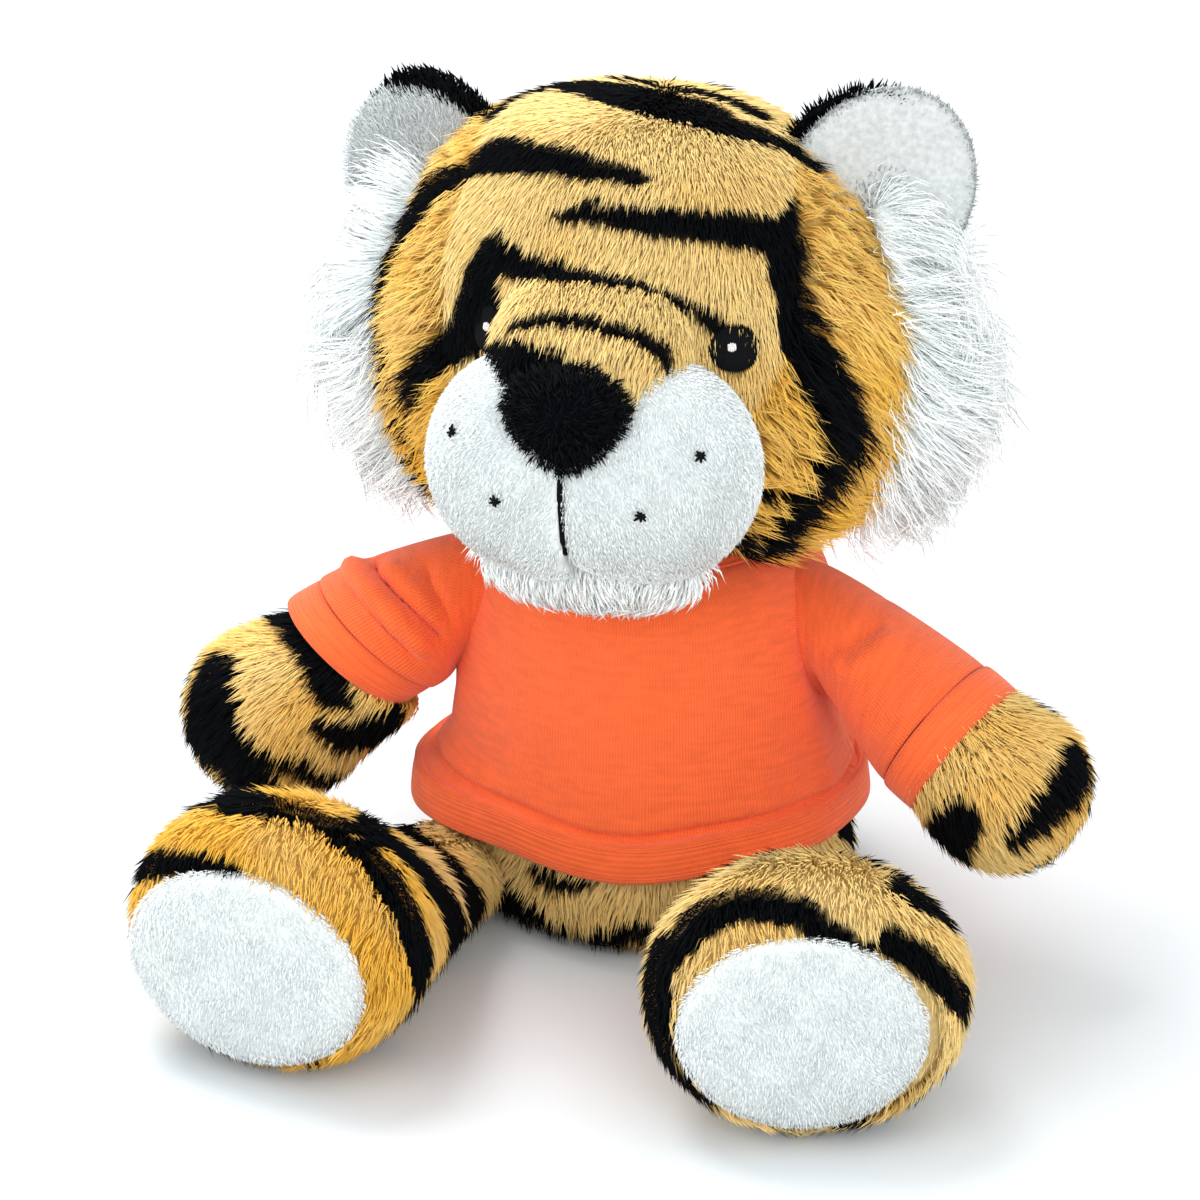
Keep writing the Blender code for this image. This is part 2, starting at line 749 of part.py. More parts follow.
def nose_mesh(extra):
    def rounded_triangle(point):
        share = (point.z / (NOSE_HALF_HEIGHT + extra) + 1) / 2
        narrow = NOSE_CHIN_WIDTH_SHARE + (1 - NOSE_CHIN_WIDTH_SHARE) * math.sin(share * math.pi / 2)
        return Vector((point.x * narrow, point.y, point.z))

    centre = Vector((0, -NOSE_REACH, NOSE_ABOVE_NECK))
    radii = (NOSE_HALF_WIDTH + extra, NOSE_HALF_DEPTH + extra, NOSE_HALF_HEIGHT + extra)
    return ball("nose", centre, radii, NOSE_FACETS, None, rounded_triangle)


def pad_surface(across, height_share):
    """A point on a muzzle pad's front, with the way it faces."""
    side = 1 if across >= -MUZZLE_SEAM_ASIDE else -1
    dx = (across - side * PAD_OUTWARD) / PAD_HALF_WIDTH
    dy = -math.sqrt(max(0, 1 - dx**2 - height_share**2))
    height = PAD_ABOVE_NECK + PAD_HALF_HEIGHT * height_share
    point = Vector((across, -PAD_REACH + PAD_HALF_DEPTH * dy, height))
    facing = Vector((dx / PAD_HALF_WIDTH, dy / PAD_HALF_DEPTH, height_share / PAD_HALF_HEIGHT)).normalized()
    return point, facing


def mouth_mesh(extra):
    """The stitched line from the nose to the chin, sunk half its depth into the pads."""
    top = NOSE_ABOVE_NECK - NOSE_HALF_HEIGHT - MOUTH_STITCH_RADIUS - SEAM_GAP - PAD_ABOVE_NECK
    top_share = top / PAD_HALF_HEIGHT
    fall = (MOUTH_BOTTOM_SHARE - top_share) / (MOUTH_STITCH_STEPS - 1)
    shares = [top_share + fall * n for n in range(MOUTH_STITCH_STEPS)]
    path = [pad_surface(-MUZZLE_SEAM_ASIDE, share)[0] for share in shares]
    radius = [MOUTH_STITCH_RADIUS + extra] * MOUTH_STITCH_STEPS
    loops = swept_rings(path, radius, radius, MOUTH_STITCH_SIDES, Vector((1, 0, 0)))
    finish = Vector((0, 0, extra))
    return solid("mouth_stitch", loops, path[0] + finish, path[-1] - finish)


def whisker_dot_mesh(side, share, extra):
    """A stitched dot that stands half proud of a muzzle pad."""
    across, height = share
    point, facing = pad_surface(side * PAD_HALF_WIDTH * across, height)
    radius = WHISKER_DOT_RADIUS + extra
    turn = facing.to_track_quat("Z", "Y").to_matrix()
    return ball("whisker_dot", point, (radius, radius, radius), WHISKER_DOT_FACETS, turn)


def build_muzzle(neck, plush, white, black):
    head_room = hidden("head_room", head_envelope_mesh(SEAM_GAP), neck)
    nose_room = hidden("nose_room", nose_mesh(SEAM_GAP), neck)
    bridge_room = hidden("bridge_room", bridge_mesh(SEAM_GAP), neck)
    mouth_room = hidden("mouth_room", mouth_mesh(SEAM_GAP), neck)
    pad_rooms = [hidden("pad_room", pad_mesh(side, SEAM_GAP), neck) for side in (1, -1)]
    reach = HEAD_HALF_WIDTH + CUT_OVERRUN
    for side, name in ((1, "muzzle_left"), (-1, "muzzle_right")):
        pad = link(name, pad_mesh(side, 0), neck, white)
        edges = sorted((side * SEAM_GAP / 2 - MUZZLE_SEAM_ASIDE, -side * reach))
        other_side = block("other_side", Vector((edges[0], -reach, -reach)), Vector((edges[1], reach, reach)))
        cut(pad, hidden("trim_" + name, other_side, neck))
        cut(pad, head_room, bridge_room, nose_room, mouth_room)
        for share, row in zip(WHISKER_DOT_SHARES, ("upper", "lower")):
            cut(pad, hidden("whisker_room", whisker_dot_mesh(side, share, SEAM_GAP), neck))
            dot = name.replace("muzzle", "whisker_dot") + "_" + row
            link(dot, whisker_dot_mesh(side, share, 0), neck, black)
    cut(link("muzzle_bridge", bridge_mesh(0), neck, plush), head_room, nose_room)
    link("nose", nose_mesh(0), neck, black)
    link("mouth_stitch", mouth_mesh(0), neck, black)
    centre = Vector((0, -CHIN_REACH, CHIN_ABOVE_NECK))
    radii = (CHIN_HALF_WIDTH, CHIN_HALF_DEPTH, CHIN_HALF_HEIGHT)
    chin = link("chin_tuft", ball("chin_tuft", centre, radii, CHIN_FACETS), neck, white)
    cut(chin, head_room, *pad_rooms)


def ear_place(side):
    """The ear's centre, and the turn that leans it outwards and toes it out."""
    centre = Vector((side * EAR_OUT, EAR_BACK, EAR_ABOVE_NECK))
    turn = Matrix.Rotation(side * EAR_TOE_OUT, 3, "Z") @ Matrix.Rotation(side * EAR_LEAN, 3, "Y")
    return centre, turn


def build_ears(neck, white, black):
    head_room = hidden("head_room_for_ears", head_envelope_mesh(SEAM_GAP), neck)
    reach = EAR_HALF_HEIGHT + CUT_OVERRUN
    for side, name in ((1, "ear_left"), (-1, "ear_right")):
        centre, turn = ear_place(side)
        radii = (EAR_HALF_WIDTH, EAR_HALF_THICKNESS, EAR_HALF_HEIGHT)
        hollow_centre = Vector((0, -EAR_HALF_THICKNESS - EAR_HOLLOW_RADIUS + EAR_HOLLOW_DEPTH, 0))
        hollow_radii = Vector((1, 1, 1)) * EAR_HOLLOW_RADIUS
        hollow = ball("ear_hollow", centre + turn @ hollow_centre, hollow_radii, EAR_HOLLOW_FACETS)
        place = Matrix.Translation(centre) @ turn.to_4x4()
        half = SEAM_GAP / 2
        behind = block("behind", Vector((-reach, -half, -reach)), Vector((reach, reach, reach)))
        ahead = block("ahead", Vector((-reach, -reach, -reach)), Vector((reach, half, reach)))
        for part_name, finish, half_space in (("_front", white, behind), ("_back", black, ahead)):
            half_space.transform(place)
            ear = link(name + part_name, ball(name, centre, radii, EAR_FACETS, turn), neck, finish)
            cut(ear, hidden("trim_" + name + part_name, half_space, neck), head_room)
            if part_name == "_front":
                cut(ear, hidden("hollow_" + name, hollow, neck))


def build_ruffs(neck, white):
    """Long-pile side strips: a swelling crescent under each ear, scalloped where the tufts part."""
    head_room = hidden("head_room_for_ruffs", head_envelope_mesh(SEAM_GAP), neck)
    for side, name in ((1, "ruff_left"), (-1, "ruff_right")):
        path, spreads, thicknesses = [], [], []
        for number in range(RUFF_STEPS):
            share = number / (RUFF_STEPS - 1)
            angle = RUFF_TOP + (RUFF_BOTTOM - RUFF_TOP) * share
            centre = Vector((0, RUFF_BACK, RUFF_CENTRE_ABOVE_NECK))
            arm = Vector((side * math.cos(angle), 0, math.sin(angle)))
            swell = math.sqrt(max(0.0, 1 - (2 * share - 1) ** RUFF_SQUARENESS))
            tuft = RUFF_SCALLOP_DEPTH * abs(math.sin(math.pi * RUFF_SCALLOPS * share))
            path.append(centre + arm * RUFF_ARC_RADIUS)
            spreads.append(RUFF_HALF_SPREAD * swell + tuft)
            thicknesses.append(RUFF_HALF_THICKNESS * swell)
        ears = [hidden("ear_room", ear_room_mesh(side), neck)]
        loops = swept_rings(path[1:-1], spreads[1:-1], thicknesses[1:-1], RUFF_SIDES, Vector((0, 1, 0)))
        ruff = link(name, solid(name, loops, path[0], path[-1]), neck, white)
        cut(ruff, head_room, *ears)


def ear_room_mesh(side):
    centre, turn = ear_place(side)
    radii = [size + SEAM_GAP for size in (EAR_HALF_WIDTH, EAR_HALF_THICKNESS, EAR_HALF_HEIGHT)]
    return ball("ear_room", centre, radii, EAR_FACETS, turn)


# Arms


def shoulder_place(side):
    """The shoulder's frame: its local Z runs down the arm, and its local X is the lift joint's axis."""
    x, y, z = ARM_DIRECTION_SHARES
    along = Vector((side * x, y, z)).normalized()
    lift_axis = Vector((along.y, -along.x, 0)).normalized()
    second = along.cross(lift_axis)
    turn = Matrix((lift_axis, second, along)).transposed()
    point = Vector((side * SHOULDER.x, SHOULDER.y, SHOULDER.z))
    return Matrix.Translation(point) @ turn.to_4x4()


def arm_stations():
    rows = smooth_rows(ARM_PROFILE_SHARES, ARM_RINGS + 1)
    tube = [(ARM_LENGTH * t, PAW_RADIUS * r, PAW_RADIUS * r, 0, 0) for t, r in rows]
    root = []
    for share in (ARM_MOUTH_SHARE, ARM_MOUTH_SHARE / 2, 0):
        radius = ARM_ROOT_RADIUS * math.sqrt(1 - share**2)
        root.append((-ARM_ROOT_RADIUS * share, radius, radius, 0, 0))
    return [*root, *tube[:-1]], tube[-1]


def build_arm(side, name, plush, fibre):
    shoulder = pivot(name + "_shoulder", shoulder_place(side))
    stations, tip = arm_stations()
    inner = lining(stations, PLUSH_WALL, ARM_LINING_RINGS)
    skin = cover(
        name,
        rings(stations, ARM_SIDES, UPRIGHT),
        end_point(tip[0], 0, UPRIGHT),
        rings(inner, ARM_SIDES, UPRIGHT),
        end_point(tip[0] - PLUSH_WALL, 0, UPRIGHT),
    )
    link(name + "_cover", skin, shoulder, plush)
    filling = lining(stations, PLUSH_WALL + SEAM_GAP, ARM_LINING_RINGS)
    start = end_point(filling[0][0], 0, UPRIGHT)
    end = end_point(tip[0] - PLUSH_WALL - SEAM_GAP, 0, UPRIGHT)
    loops = rings(filling, ARM_SIDES, UPRIGHT)
    link(name + "_stuffing", solid(name + "_stuffing", loops, start, end), shoulder, fibre)
    return shoulder


def arm_pockets(side):
    """Room for the shoulder ball, and the slot that the arm swings in."""
    centre = Vector((side * SHOULDER.x, SHOULDER.y, SHOULDER.z))
    radius = ARM_ROOT_RADIUS + ARM_SOCKET_EASE
    socket = hidden("shoulder_socket", ball("socket", centre, (radius, radius, radius), ARM_SOCKET_FACETS))
    return [socket, armhole(side)]


def armhole(side):
    inner = SHOULDER.x - ARMHOLE_DEPTH
    outer = TORSO_HALF_WIDTH + CUT_OVERRUN
    loops = []
    for across in (inner, outer):
        loop = []
        for number in range(ARM_SIDES):
            angle = math.tau * number / ARM_SIDES
            y = SHOULDER.y + ARMHOLE_HALF_WIDTH * math.cos(angle)
            z = SHOULDER.z - ARMHOLE_DROP + ARMHOLE_HALF_HEIGHT * math.sin(angle)
            loop.append(Vector((side * across, y, z)))
        loops.append(loop)
    return hidden("armhole", solid("armhole", loops, centre_of(loops[0]), centre_of(loops[1])))


# Legs


def hip_place(side, swing=0.0):
    """The hip's frame at a swing: its local -Y runs down the leg, and its Z is the joint's axis."""
    point = Vector((side * HIP.x, HIP.y, HIP.z))
    return Matrix.Translation(point) @ Matrix.Rotation(side * (LEG_SPLAY + swing), 4, "Z")


def leg_stations():
    centre = HIP_HALF_HEIGHT - REST_FLAT
    root = []
    for share in (LEG_MOUTH_SHARE, LEG_MOUTH_SHARE / 2, 0):
        fall = math.sqrt(1 - share**2)
        root.append((-HIP_RADIUS * share, HIP_RADIUS * fall, HIP_HALF_HEIGHT * fall, centre, 0))
    rows = smooth_rows(LEG_PROFILE_SHARES, LEG_RINGS)
    tube = [
        (
            LEG_LENGTH * t,
            FOOT_HALF_WIDTH * w,
            FOOT_HALF_HEIGHT * h,
            FOOT_HALF_HEIGHT * h - REST_FLAT,
            FOOT_PITCH_SHARE * p,
        )
        for t, w, h, p in rows
    ]
    rim = tube[-1]
    waist = tube[-3]
    tube[-2] = (*tube[-2][:3], (tube[-2][3] + waist[3]) / 2, FOOT_PITCH_SHARE)
    tube[-1] = (*rim[:3], tube[-2][3], FOOT_PITCH_SHARE)
    return [*root, *tube]


def leg_pockets(side):
    """Room in the torso for the thigh's root, fanned out so that the leg can swing."""
    low, high = LEG_SWING_RANGE
    spread = math.tan((high - low) / 2)
    round_back = [
        (
            -(HIP_RADIUS + LEG_ROOM_EASE) * share,
            (HIP_RADIUS + LEG_ROOM_EASE) * math.sqrt(1 - share**2),
            (HIP_HALF_HEIGHT + LEG_ROOM_EASE) * math.sqrt(1 - share**2),
            HIP_HALF_HEIGHT - REST_FLAT,
            0,
        )
        for share in LEG_ROOM_SHARES
    ]
    fan = [
        (along, width + max(0, along) * spread, height, lift, 0)
        for along, width, height, lift, _ in grown(leg_stations(), LEG_ROOM_EASE)[:LEG_ROOM_RINGS]
        if along > -round_back[-1][0]
    ]
    stations = round_back + fan
    back = end_point(-HIP_RADIUS - LEG_ROOM_EASE, stations[0][3], LEVEL_FORWARD)
    end = end_point(stations[-1][0], stations[-1][3], LEVEL_FORWARD)
    mesh = solid("leg_room", rings(stations, LEG_SIDES, LEVEL_FORWARD), back, end)
    return [hidden("leg_room", mesh, None, hip_place(side, (low + high) / 2))]


def floor_slab():
    reach = LEG_LENGTH + FOOT_HALF_WIDTH + CUT_OVERRUN
    return block("floor", Vector((-reach, -reach, -CUT_OVERRUN)), Vector((reach, reach, 0)))


def build_leg(side, name, plush, white, fibre):
    hip = pivot(name + "_hip", hip_place(side))
    floor = hidden("floor_under_" + name, floor_slab(), hip)
    stations = leg_stations()
    inner = lining(stations, PLUSH_WALL, LEG_LINING_RINGS)
    inner[-1] = (stations[-1][0], *inner[-1][1:])
    skin = cover(
        name,
        rings(stations, LEG_SIDES, LEVEL_FORWARD),
        None,
        rings(inner, LEG_SIDES, LEVEL_FORWARD),
        None,
    )
    cut(link(name + "_cover", skin, hip, plush), floor)
    filling = lining(stations, PLUSH_WALL + SEAM_GAP, LEG_LINING_RINGS)
    rim = filling[-1]
    filling[-1] = (stations[-1][0] - SOLE_PLUG - SEAM_GAP, *rim[1:])
    start = end_point(filling[0][0], filling[0][3], LEVEL_FORWARD)
    end = end_point(filling[-1][0], filling[-1][3], LEVEL_FORWARD)
    loops = rings(filling, LEG_SIDES, LEVEL_FORWARD)
    link(name + "_stuffing", solid(name + "_stuffing", loops, start, end), hip, fibre)
    width, height = (size - SEAM_GAP for size in inner[-1][1:3])
    lift = stations[-1][3]
    first = stations[-1][0]
    sole = [(first - SOLE_PLUG, width, height, lift, FOOT_PITCH_SHARE)]
    for along, girth in SOLE_CROWN_SHARES[:-1]:
        sole.append((first + SOLE_CROWN * along, width * girth, height * girth, lift, FOOT_PITCH_SHARE))
    back = end_point(sole[0][0], lift, LEVEL_FORWARD)
    front = end_point(first + SOLE_CROWN, lift, LEVEL_FORWARD)
    loops = rings(sole, LEG_SIDES, LEVEL_FORWARD)
    link(name + "_sole", solid(name + "_sole", loops, back, front), hip, white)


# Tail


def tail_loops(extra):
    rows = smooth_rows(TAIL_PATH_SHARES, TAIL_RINGS)
    girths = smooth_rows([(share,) for share in TAIL_GIRTH_SHARES], TAIL_RINGS)
    drop = TAIL_ROOT.z - TAIL_RADIUS
    path = [
        Vector((TAIL_LENGTH * x, TAIL_LENGTH * y, -drop * min(1, n / TAIL_RINGS / TAIL_DROP_SHARE)))
        for n, (x, y) in enumerate(rows)
    ]
    radii = [TAIL_RADIUS * girth[0] + extra for girth in girths]
    backs = []
    for share in (TAIL_MOUTH_SHARE, TAIL_MOUTH_SHARE / 2):
        size = (TAIL_RADIUS + extra) * math.sqrt(1 - share**2)
        backs.append((Vector((0, -(TAIL_RADIUS + extra) * share, 0)), size))
    end = path[-1]
    heading = (path[-1] - path[-2]).normalized()
    radius = radii[-1]
    ends = [(end + heading * radius * share, radius * math.sqrt(1 - share**2)) for share in TAIL_END_SHARES]
    path = [point for point, _ in backs] + path + [point for point, _ in ends]
    radii = [size for _, size in backs] + radii + [size for _, size in ends]
    loops = swept_rings(path, radii, radii, TAIL_SIDES, Vector((0, 0, 1)))
    return loops, path[0], end + heading * radius


def tail_pockets():
    radius = TAIL_RADIUS + TAIL_SOCKET_EASE
    return [hidden("tail_socket", ball("socket", TAIL_ROOT, (radius, radius, radius), TAIL_SOCKET_FACETS))]


def build_tail(plush, fibre):
    root = pivot("tail_root", Matrix.Translation(TAIL_ROOT))
    loops, start, end = tail_loops(0)
    inner, inner_start, inner_end = tail_loops(-PLUSH_WALL)
    core, core_start, core_end = tail_loops(-PLUSH_WALL - SEAM_GAP)
    inner[0] = [point + start - inner_start for point in inner[0]]
    link("tail_cover", cover("tail", loops, end, inner, inner_end), root, plush)
    link("tail_stuffing", solid("tail_stuffing", core, core_start, core_end), root, fibre)


# T-shirt


def shirt_fold(angle, share):
    """How far the knit stands off its smooth shape: drags from the armpits and a slack belly line."""
    side = abs(math.cos(angle)) ** DRAG_SHARPNESS
    drag = max(0.0, math.cos(DRAG_FOLDS * angle + DRAG_SLANT * share)) * side * math.sin(math.pi * share)
    belly = max(0.0, math.sin(math.pi * share * BELLY_FOLDS + BELLY_SLANT * math.cos(angle))) * (1 - share)
    return FOLD_DEPTH * (drag + belly * BELLY_FOLD_SHARE)


def shirt_point(angle, height, extra):
    """A point of the shirt's inside at an angle round the torso, moved out by extra."""
    width, depth = torso_half_sizes(height)
    share = (height - HEM_BOTTOM) / (SHIRT_TOP - HEM_BOTTOM)
    flare = SHIRT_HEM_EASE * max(0.0, 1 - share / SHIRT_FLARE_SHARE)
    out = SHIRT_EASE + flare + extra
    return Vector(((width + out) * math.cos(angle), (depth + out) * math.sin(angle), height))


def hem_dip(angle):
    """How far the hem hangs below its level at an angle: it sags between the legs."""
    away = abs((angle + math.pi / 2 + math.pi) % math.tau - math.pi)
    if away > HEM_DIP_HALF_ANGLE:
        return 0
    return HEM_DIP * (1 + math.cos(math.pi * away / HEM_DIP_HALF_ANGLE)) / 2


def shirt_grid(angles, extra, rows, foot, folded=True):
    grid = []
    for row in range(rows):
        share = row / (rows - 1)
        line = []
        for angle in angles:
            low = foot - hem_dip(angle)
            height = low + (SHIRT_TOP - low) * (1 - (1 - share) ** SHIRT_ROW_CROWDING)
            more = shirt_fold(angle, share) if folded else FOLD_DEPTH * share * (1 - share) * 4
            line.append(shirt_point(angle, height, extra + more))
        grid.append(line)
    return grid


def build_shirt_body(knit):
    foot = HEM_BOTTOM + HEM_BAND_HEIGHT + SEAM_GAP
    holes = [armhole(side) for side in (1, -1)]
    seam_angle = SEAM_GAP / 2 / TORSO_HALF_WIDTH
    for name, start in (("shirt_front", math.pi), ("shirt_back", 0)):
        sweep = math.pi - 2 * seam_angle
        angles = [start + seam_angle + sweep * n / PANEL_COLUMNS for n in range(PANEL_COLUMNS + 1)]
        inner = shirt_grid(angles, 0, PANEL_ROWS, foot)
        outer = shirt_grid(angles, KNIT_WALL, PANEL_ROWS, foot)
        cut(link(name, plate(name, inner, outer), None, knit), *holes)


def band_loops(levels, extras):
    loops = []
    for level, extra in zip(levels, extras):
        loops.append([level(math.tau * n / BAND_SIDES, extra) for n in range(BAND_SIDES)])
    return loops


def build_bands(knit):
    """The turned-up hem and the neck band, each a closed ring of doubled knit."""

    def hem(share):
        def point(angle, extra):
            return shirt_point(angle, HEM_BOTTOM - hem_dip(angle) + HEM_BAND_HEIGHT * share, extra)

        return point

    levels = [hem(share) for share in (0, 0.5, 1)]
    outer = band_loops(levels, [KNIT_WALL + HEM_ROLL, KNIT_WALL + 2 * HEM_ROLL, KNIT_WALL])
    inner = band_loops(levels, [0, 0, 0])
    link("shirt_hem_band", cover("shirt_hem_band", outer, None, inner, None), None, knit)

    def neck(share):
        def point(angle, extra):
            height = SHIRT_TOP + SEAM_GAP + NECK_BAND_HEIGHT * share
            width, depth = torso_half_sizes(height)
            out = NECK_BAND_EASE + extra
            return Vector(((width + out) * math.cos(angle), (depth + out) * math.sin(angle), height))

        return point

    levels = [neck(share) for share in (0, 0.5, 1)]
    outer = band_loops(levels, [2 * KNIT_WALL] * len(levels))
    inner = band_loops(levels, [SHIRT_EASE, SHIRT_EASE, 0])
    link("shirt_neck_band", cover("shirt_neck_band", outer, None, inner, None), None, knit)


def shirt_envelope():
    """The space inside the shirt's outer surface, for trimming the sleeves."""
    angles = [math.tau * n / (2 * PANEL_COLUMNS) for n in range(2 * PANEL_COLUMNS)]
    grid = shirt_grid(angles, KNIT_WALL + 2 * SEAM_GAP, PANEL_ROWS, HEM_BOTTOM + HEM_BAND_HEIGHT + SEAM_GAP)
    return hidden("shirt_envelope", solid("shirt_envelope", grid, centre_of(grid[0]), centre_of(grid[-1])))


def sleeve_fold(side):
    """Soft ridges that run slantwise round a sleeve and die out at its ends."""

    def bump(angle, share):
        ridge = max(0.0, math.sin(SLEEVE_FOLDS * angle + side * SLEEVE_FOLD_SLANT * share)) ** 2
        return SLEEVE_FOLD_DEPTH * ridge * math.sin(math.pi * share)

    return bump


def build_sleeve(side, name, shoulder, rooms, knit):
    rows = smooth_rows(SLEEVE_SHARES, SLEEVE_ROWS)
    path = [Vector((0, 0, SLEEVE_LENGTH * along)) for along, _ in rows]
    flares = [SLEEVE_RADIUS + (SLEEVE_SHOULDER_RADIUS - SLEEVE_RADIUS) * girth for _, girth in rows]
    insides = [radius - KNIT_WALL for radius in flares]
    up = Vector((0, 1, 0))
    outer = swept_rings(path, flares, flares, SLEEVE_SIDES, up, sleeve_fold(side))
    inner = swept_rings(path, insides, insides, SLEEVE_SIDES, up, sleeve_fold(side))
    sleeve = link(name, cover(name, outer, None, inner, None), shoulder, knit)
    cut(sleeve, *rooms)
    start = SLEEVE_LENGTH + SEAM_GAP
    rows = len(CUFF_STEP_SHARES)
    path = [Vector((0, 0, start + CUFF_HEIGHT * n / (rows - 1))) for n in range(rows)]
    wide = [flares[-1] + CUFF_STEP * share for share in CUFF_STEP_SHARES]
    narrow = [insides[-1]] * rows
    outer = swept_rings(path, wide, wide, SLEEVE_SIDES, up)
    inner = swept_rings(path, narrow, narrow, SLEEVE_SIDES, up)
    link(name + "_cuff", cover(name + "_cuff", outer, None, inner, None), shoulder, knit)


def main():
    remove_everything()
    plush = material("amber_plush", AMBER, PILE_ROUGHNESS)
    white = material("white_plush", WHITE, PILE_ROUGHNESS)
    black = material("black_plush", BLACK, PILE_ROUGHNESS)
    knit = material("orange_knit", KNIT_ORANGE, PILE_ROUGHNESS)
    fibre = material("polyester_fibre", FIBRE, PILE_ROUGHNESS)
    linen = material("bean_bag_cloth", LINEN, PILE_ROUGHNESS)
    thread_white = material("white_thread", WHITE, THREAD_ROUGHNESS)

    sides = ((1, "left"), (-1, "right"))
    pockets = tail_pockets()
    for side, _ in sides:
        pockets += arm_pockets(side) + leg_pockets(side)
    build_torso(pockets, plush, fibre, linen)

    neck_place = Matrix.Translation(Vector((0, -NECK_FORWARD, TORSO_HEIGHT)))
    neck = pivot("neck_pivot", neck_place)
    build_head(neck, plush, white, black, fibre, thread_white)

    head_room = hidden("head_room_for_sleeves", head_envelope_mesh(SLEEVE_HEAD_EASE), neck)
    rooms = [shirt_envelope(), head_room]
    for side, word in sides:
        shoulder = build_arm(side, "arm_" + word, plush, fibre)
        build_sleeve(side, "sleeve_" + word, shoulder, rooms, knit)
        build_leg(side, "leg_" + word, plush, white, fibre)
    build_tail(plush, fibre)
    build_shirt_body(knit)
    build_bands(knit)


main()
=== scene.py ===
"""Dresses the packed plush tiger: plush skins with pile, a knitted T-shirt, embroidery, stage and camera.

The tiger faces -Y and its own left is +X. Metres, +Z up. The origin is the middle of the flat seat.
Tables with the keys 1 and -1 hold what differs between the toy's left and right side.
"""

import math

import bmesh
import bpy
import numpy as np
from mathutils import Matrix, Vector
from mathutils.bvhtree import BVHTree


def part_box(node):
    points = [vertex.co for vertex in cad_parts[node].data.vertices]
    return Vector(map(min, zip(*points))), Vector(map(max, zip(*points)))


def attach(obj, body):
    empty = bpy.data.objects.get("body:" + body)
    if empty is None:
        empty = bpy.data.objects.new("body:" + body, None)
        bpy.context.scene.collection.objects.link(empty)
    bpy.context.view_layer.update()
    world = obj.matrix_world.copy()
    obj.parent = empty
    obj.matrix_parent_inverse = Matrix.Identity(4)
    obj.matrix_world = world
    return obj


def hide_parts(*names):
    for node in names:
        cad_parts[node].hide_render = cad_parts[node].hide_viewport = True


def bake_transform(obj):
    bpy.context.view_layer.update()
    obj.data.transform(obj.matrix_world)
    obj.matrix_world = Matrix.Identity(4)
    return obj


bl_info = {
    "name": "Plush tiger",
    "version": (1, 0, 0),
    "blender": (4, 5, 0),
    "location": "3D View > Sidebar > Plush tiger",
    "description": "Makes the plush skins, pile, shirt and embroidery of a seated toy tiger",
    "category": "Object",
}

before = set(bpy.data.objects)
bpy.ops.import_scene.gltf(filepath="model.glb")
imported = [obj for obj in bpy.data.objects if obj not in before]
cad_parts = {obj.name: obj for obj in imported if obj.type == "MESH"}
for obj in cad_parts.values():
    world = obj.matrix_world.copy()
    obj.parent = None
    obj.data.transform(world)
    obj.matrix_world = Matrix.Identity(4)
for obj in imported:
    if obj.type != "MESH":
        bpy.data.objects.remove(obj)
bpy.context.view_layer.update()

MM = 0.001
PIXELS = 1200
SIDES = ((1, "left"), (-1, "right"))
UP = np.array((0.0, 0.0, 1.0))

# Camera of the photograph
CAMERA_AZIMUTH = math.radians(14)
CAMERA_ELEVATION = math.radians(23)
CAMERA_DISTANCE = 850 * MM
CAMERA_TARGET = Vector((0, -25 * MM, 85 * MM))
CAMERA_FOCUS = 4122.5
CAMERA_SHIFT = (-28, -40)
SENSOR = 36
LIT_PLACE = Vector((0, -0.02, 0.08))
FLOOR_REACH = 6.0

# Sizes that follow the CAD solids
HEAD_HALF_WIDTH = 53 * MM
HEAD_HALF_DEPTH = 45 * MM
HEAD_HEIGHT = 92 * MM
HEAD_LEAN = 2 * MM
NECK = np.array((0.0, -4 * MM, 87.7 * MM))

# Rows of a solid: share of its length, share of its half width, and for the head share of its lean
HEAD_ROWS = (
    (0.000, 0.54, 0.0),
    (0.055, 0.73, 0.3),
    (0.140, 0.88, 0.6),
    (0.270, 0.98, 0.9),
    (0.420, 1.00, 1.0),
    (0.570, 0.975, 1.0),
    (0.700, 0.905, 1.0),
    (0.820, 0.79, 1.0),
    (0.915, 0.63, 1.0),
    (0.975, 0.40, 1.0),
    (1.000, 0.02, 1.0),
)
HEAD_SWAY = -2.3 * MM
CROWN_SEAM = ((-0.1, 0.40), (0.30, 0.44), (0.52, 0.64), (0.66, 0.66), (0.85, 0.60), (1.1, 0.56))
TORSO_HEIGHT = 87.7 * MM
TORSO_HALF_WIDTH = 39.5 * MM
TORSO_HALF_DEPTH = 37.5 * MM
TORSO_ROWS = (
    (1.000, 0.53),
    (0.965, 0.56),
    (0.930, 0.70),
    (0.860, 0.85),
    (0.740, 0.93),
    (0.600, 0.97),
    (0.440, 0.99),
    (0.280, 1.02),
    (0.140, 1.06),
    (0.050, 1.05),
    (0.000, 0.92),
)

# How much wider the printed stripes are than their routes, and how deep in the pile these lie
PRINT_SPREAD = {"head": 1.1, "body": 1.2}
PRINT_SHARE = 0.6

# What the photograph shows uneven between the sides
SLEEVE_LIFTS = {1: 0.0, -1: 4.5 * MM}
ARM_SHIFTS = {1: np.zeros(3), -1: np.array((1.2, 0, -1.2)) * MM}
LEG_SHIFTS = {1: np.array((-0.6, 0, 0)) * MM, -1: np.array((-1.6, 0, 0)) * MM}
SLEEVE_SHIFTS = {1: 0.0, -1: 3.0 * MM}
ARM_INSETS = {1: 1.7 * MM, -1: -0.2 * MM}
RUFF_GROWTH = {1: 1.0, -1: 1.08}
RUFF_OUT = {1: 0.0, -1: 0.6 * MM}

